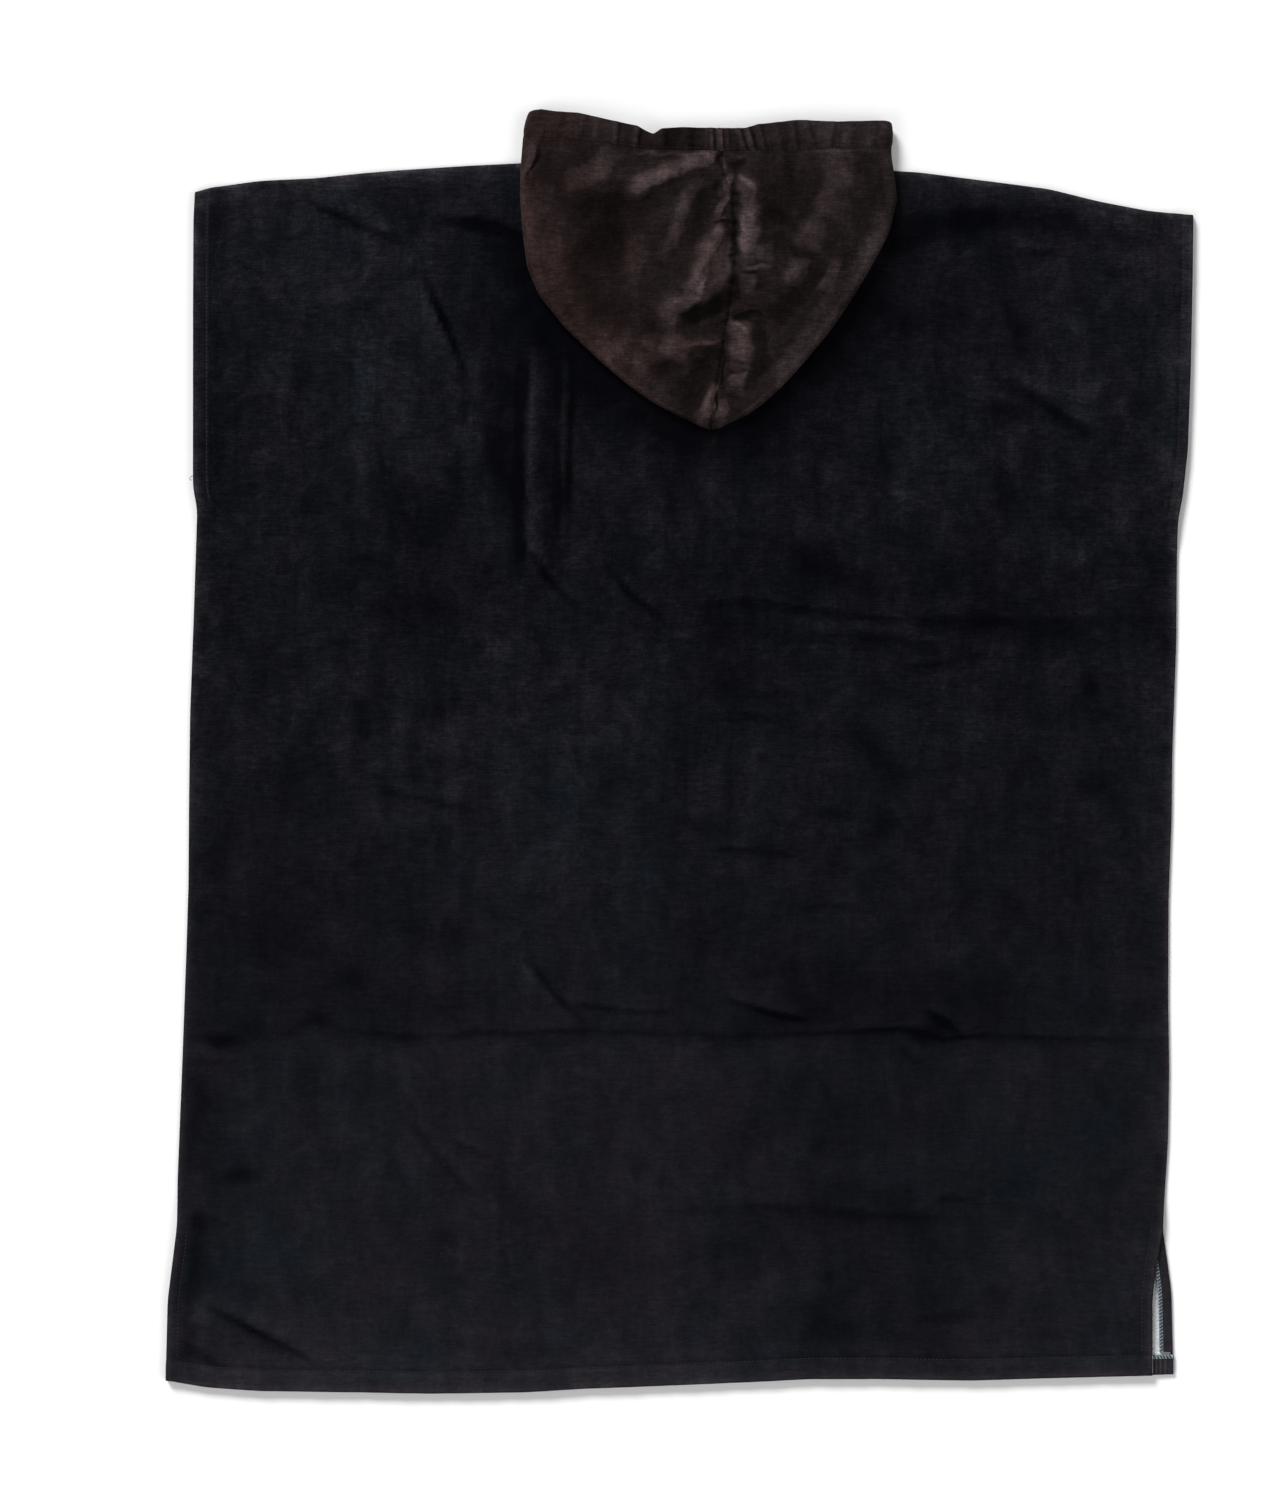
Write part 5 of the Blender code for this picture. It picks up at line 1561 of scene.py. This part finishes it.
# ---------------------------------------------------------------- hood casing
# The face edge of each hood half, turned in and stitched down into a casing that runs from the
# centre seam round the corner to the throat. Its stitching draws the cloth into small pleats.
CASING_COLUMNS = (140, 10, 10, 34)  # as the hood's
CASING_CROWDING = ((0.0, 0.28, 1.4),)  # toward the centre seam
CASING_OUT_CELLS = 12
CASING_IN_CELLS = 8
CASING_SEAM_GROOVE = (2.4, 1.2)
PUFF = 1.0  # how far it swells between its stitching and its edge
HELD_AT, HELD_FADE = 0.04, 0.10  # shares of its depth where the stitching holds it flat
CASING_LAP = 0.15  # how far each half's end is pressed into the other at the centre seam
CASING_ALLOWANCE = (
    # below its seam line, down: the allowance that the stitching holds under the hood
    (5.0, 3.0), (2.0, 2.8), (0.4, 2.4), (0.0, 1.2),
)
PLEATS = (
    # x at the face edge, x at the stitching, half width, height, painted highlight on it and
    # painted shade beside it
    (28.0,    28.5, 2.4, 2.2, 1.3), (36.5,    37.0, 2.8, 2.2, 1.2), (43.0,  43.0, 1.6, 1.0, 0.4),
    (52.5,    57.5, 2.8, 1.5, 1.2), (60.5,    65.5, 2.8, 2.6, 1.5), (70.5,  75.5, 2.4, 1.4, 0.7),
    (24.0,    23.5, 1.6, 0.8, 0.5), (-19.0,  -18.0, 5.0, 1.0, 0.4), (-59.5, -59.0, 2.4, 1.5, 1.0),
    (-40.0,  -41.0, 2.8, 1.3, 1.0), (-77.0,  -78.0, 3.0, 0.8, 0.5), (-90.0, -92.0, 3.0, 0.6, 0.4),
    (-112.0, -114.0, 4.0, 0.5, 0.3), (5.0,     4.0, 6.0, 0.8, 0.4), (86.0,  90.0, 3.0, 0.8, 0.4),
    (100.0,  103.0, 3.0, 1.0, 0.6), (112.0,  119.0, 4.0, 1.4, 0.6), (136.0, 133.0, 3.0, 1.0, 0.5),
    (152.0,  150.0, 4.0, 0.7, 0.3), (172.0,  171.0, 4.0, 0.6, 0.4),
)
CASING_PAINTED_LIGHT = (
    # painted highlights and shade along the casing: x, half width, lighter or darker by
    (-104.0, 44.0, 0.65), (-8.0, 28.0, -0.48), (36.0,   7.0, 0.80), (62.0, 8.0, 0.45),
    (80.0,   12.0, 0.10), (112.0, 16.0, 0.36), (160.0, 40.0, 0.52),
)


def casing_rails(side):
    """The casing's seam line and its face edge, outside, from the centre seam to the throat."""
    upper, around, outer, inward = half_shares(CASING_COLUMNS, CASING_CROWDING)
    neck_x = NECK_X + side * NECK_HALF_WIDTH
    middle = NECK_X + side * SEAM_GAP / 2
    rails = []
    for level, upper_y, lower_y, clear, fold_share in (
        (CASING_ROW_Y + 1, casing_seam_y, throat_seam_y, GAP, 0.6),
        (FACE_ROW_Y, face_edge_y, throat_edge_y, 0.0, 0.0),
    ):
        left, seam, right, top = hood_section(level)
        fold = left if side < 0 else right
        turn_x = fold - side * FOLD_ROUND
        x = seam - side * CASING_LAP + upper * (turn_x - seam + side * CASING_LAP)
        off = np.abs(x - seam)
        z = top + crown(off, abs(fold - seam)) + groove(off, *CASING_SEAM_GROOVE)
        z = z + soft_lines(HOOD_FOLDS, x, casing_seam_y(x)) * fold_share
        above = np.stack((x, upper_y(x) + clear, z), 1)
        x = np.concatenate((
            turn_x + outer * (neck_x - turn_x), neck_x + inward * (middle - neck_x),
        ))
        below = np.stack((x, lower_y(x, side) + clear, np.zeros_like(x)), 1)
        rails.append(folded_over(above, below, side * FOLD_ROUND, around))
    return rails


def pleated(low, share, on_floor, dark=False):
    """Height of the small leaning pleats across the casing, or the painted highlight on them and
    painted shade beside them."""
    total = np.zeros(len(low))
    for edge_x, seam_x, width, height, shade in PLEATS:
        off = (low[:, 0] - seam_x - share * (edge_x - seam_x)) / width
        if dark:
            total += shade * (1.1 * bell(off + 0.2, 1.0) - bell(off - 1.0, 0.6))
        else:
            total += height * bell(off, 1.0)
    return np.where(on_floor, 0.0, total)


def casing_grid(side):
    """Outer layer from under the seam line to the face edge, round it, and back on the inside."""
    low, high = casing_rails(side)
    toward = unit(high - low)
    outward = unit(side * np.cross(np.gradient(low, axis=0), toward))
    on_floor = np.arange(len(low)) >= CASING_COLUMNS[0] + CASING_COLUMNS[1]
    outward[on_floor] = (0.0, 0.0, -1.0)
    puff = PUFF * np.clip(low[:, 2] / 10.0, 0.0, 1.0)  # none where it comes down to the surface
    edge = high - FOLD_RADIUS * toward
    lit = sum(much * bell(low[:, 0] - at, half) for at, half, much in CASING_PAINTED_LIGHT)
    rows = []
    nap = []

    def add(points, share):
        rows.append(points)
        # painted light along the casing, a little more toward its face edge
        shine = np.where(on_floor, 0.0, lit + 0.3 * share)
        nap.append(pleated(low, share, on_floor, dark=True) + shine)

    for back_by, down_by in CASING_ALLOWANCE:
        add(low - back_by * toward - down_by * outward, 0.0)
    for share in np.linspace(0.0, 1.0, CASING_OUT_CELLS + 1):
        free = 1 - bell(share - HELD_AT, HELD_FADE)
        lift = free * (puff * math.sin(math.pi * share) ** 0.7 + pleated(low, share, on_floor))
        add(low + share * (edge - low) + lift[:, None] * outward, share)
    end_lift = pleated(low, 1.0, on_floor)[:, None] * outward
    centre = edge - FOLD_RADIUS * outward + end_lift
    for turn in FOLD_TURNS:
        add(centre + FOLD_RADIUS * (math.cos(turn) * outward + math.sin(turn) * toward), 1.0)
    for share in np.linspace(1.0, 0.0, CASING_IN_CELLS + 1)[1:]:
        add(low + share * (edge - low) - 2 * FOLD_RADIUS * outward + end_lift * share, share)
    return np.array(rows), np.array(nap)


BROWN_STITCH_PITCH = 3.2
brown_thread = thread_material("brown_thread", (0.013, 0.009, 0.0085), 0.15)
for side, name in ((-1, "hood_casing_left"), (1, "hood_casing_right")):
    points, nap = casing_grid(side)
    blocks = np.ones(((points.shape[0] - 1) // 2, (points.shape[1] - 1) // 2), bool)
    piece = shell(name + "_cloth", points, blocks, side, (brown_velour, white_terry), nap=nap)
    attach(piece, "root")
    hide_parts(name)
    seam = points[len(CASING_ALLOWANCE) + 1, 2:CASING_COLUMNS[0]]
    stitching = thread(
        name + "_stitching", stitches(seam, BROWN_STITCH_PITCH), STITCH_RADIUS, brown_thread
    )
    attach(stitching, "root")

# ---------------------------------------------------------------- surface, light and camera
# The garment lies on a plain pale surface under soft studio light from above its hood.
FLOOR_SIZE = 8.0
bpy.ops.object.select_all(action="DESELECT")
bpy.ops.mesh.primitive_plane_add(size=FLOOR_SIZE, location=(0.0, 0.0, 0.0))
floor = bpy.context.object
floor.name = "floor"
pale_surface = new_material("pale_surface", 0.9, 0.1, Base_Color=(0.93, 0.93, 0.93, 1.0))[0]
floor.data.materials.append(pale_surface)

LIGHTS = (
    # name, toward it, softness in degrees, strength
    ("key", (-0.55, 1.0, 0.80), 20.0, 3.2),
    ("fill_left", (-1.0, -0.8, 1.1), 40.0, 0.8),
    ("fill_right", (1.0, -0.3, 1.2), 40.0, 0.8),
)
LIGHT_DISTANCE = 3.0
ROOM_LIGHT = 0.20
for name, toward, softness, strength in LIGHTS:
    light = bpy.data.lights.new(name, "SUN")
    light.angle = math.radians(softness)
    light.energy = strength
    lamp = bpy.data.objects.new(name, light)
    lamp.location = [LIGHT_DISTANCE * step for step in toward]
    across = math.hypot(toward[0], toward[1])
    lamp.rotation_euler = (math.atan2(across, toward[2]), 0.0, math.atan2(toward[0], -toward[1]))
    bpy.context.scene.collection.objects.link(lamp)

world = bpy.data.worlds.new("soft_room")
world.use_nodes = True
world.node_tree.nodes["Background"].inputs["Color"].default_value = (1.0, 1.0, 1.0, 1.0)
world.node_tree.nodes["Background"].inputs["Strength"].default_value = ROOM_LIGHT
bpy.context.scene.world = world
bpy.context.scene.view_settings.view_transform = "Standard"

FRAME_HEIGHT = 1.350  # height of the camera's field on the surface, in metres
FRAME_CENTRE = (-0.04455, 0.0018)
CAMERA_HEIGHT = 4.5
COVER_HEIGHT = 0.008  # where the field has that height
camera_data = bpy.data.cameras.new("overhead")
camera_data.sensor_width = 36.0
camera_data.lens = camera_data.sensor_width * CAMERA_HEIGHT / FRAME_HEIGHT
camera_data.clip_end = 50.0
camera = bpy.data.objects.new("overhead", camera_data)
camera.location = (*FRAME_CENTRE, COVER_HEIGHT + CAMERA_HEIGHT)
bpy.context.scene.collection.objects.link(camera)
bpy.context.scene.camera = camera
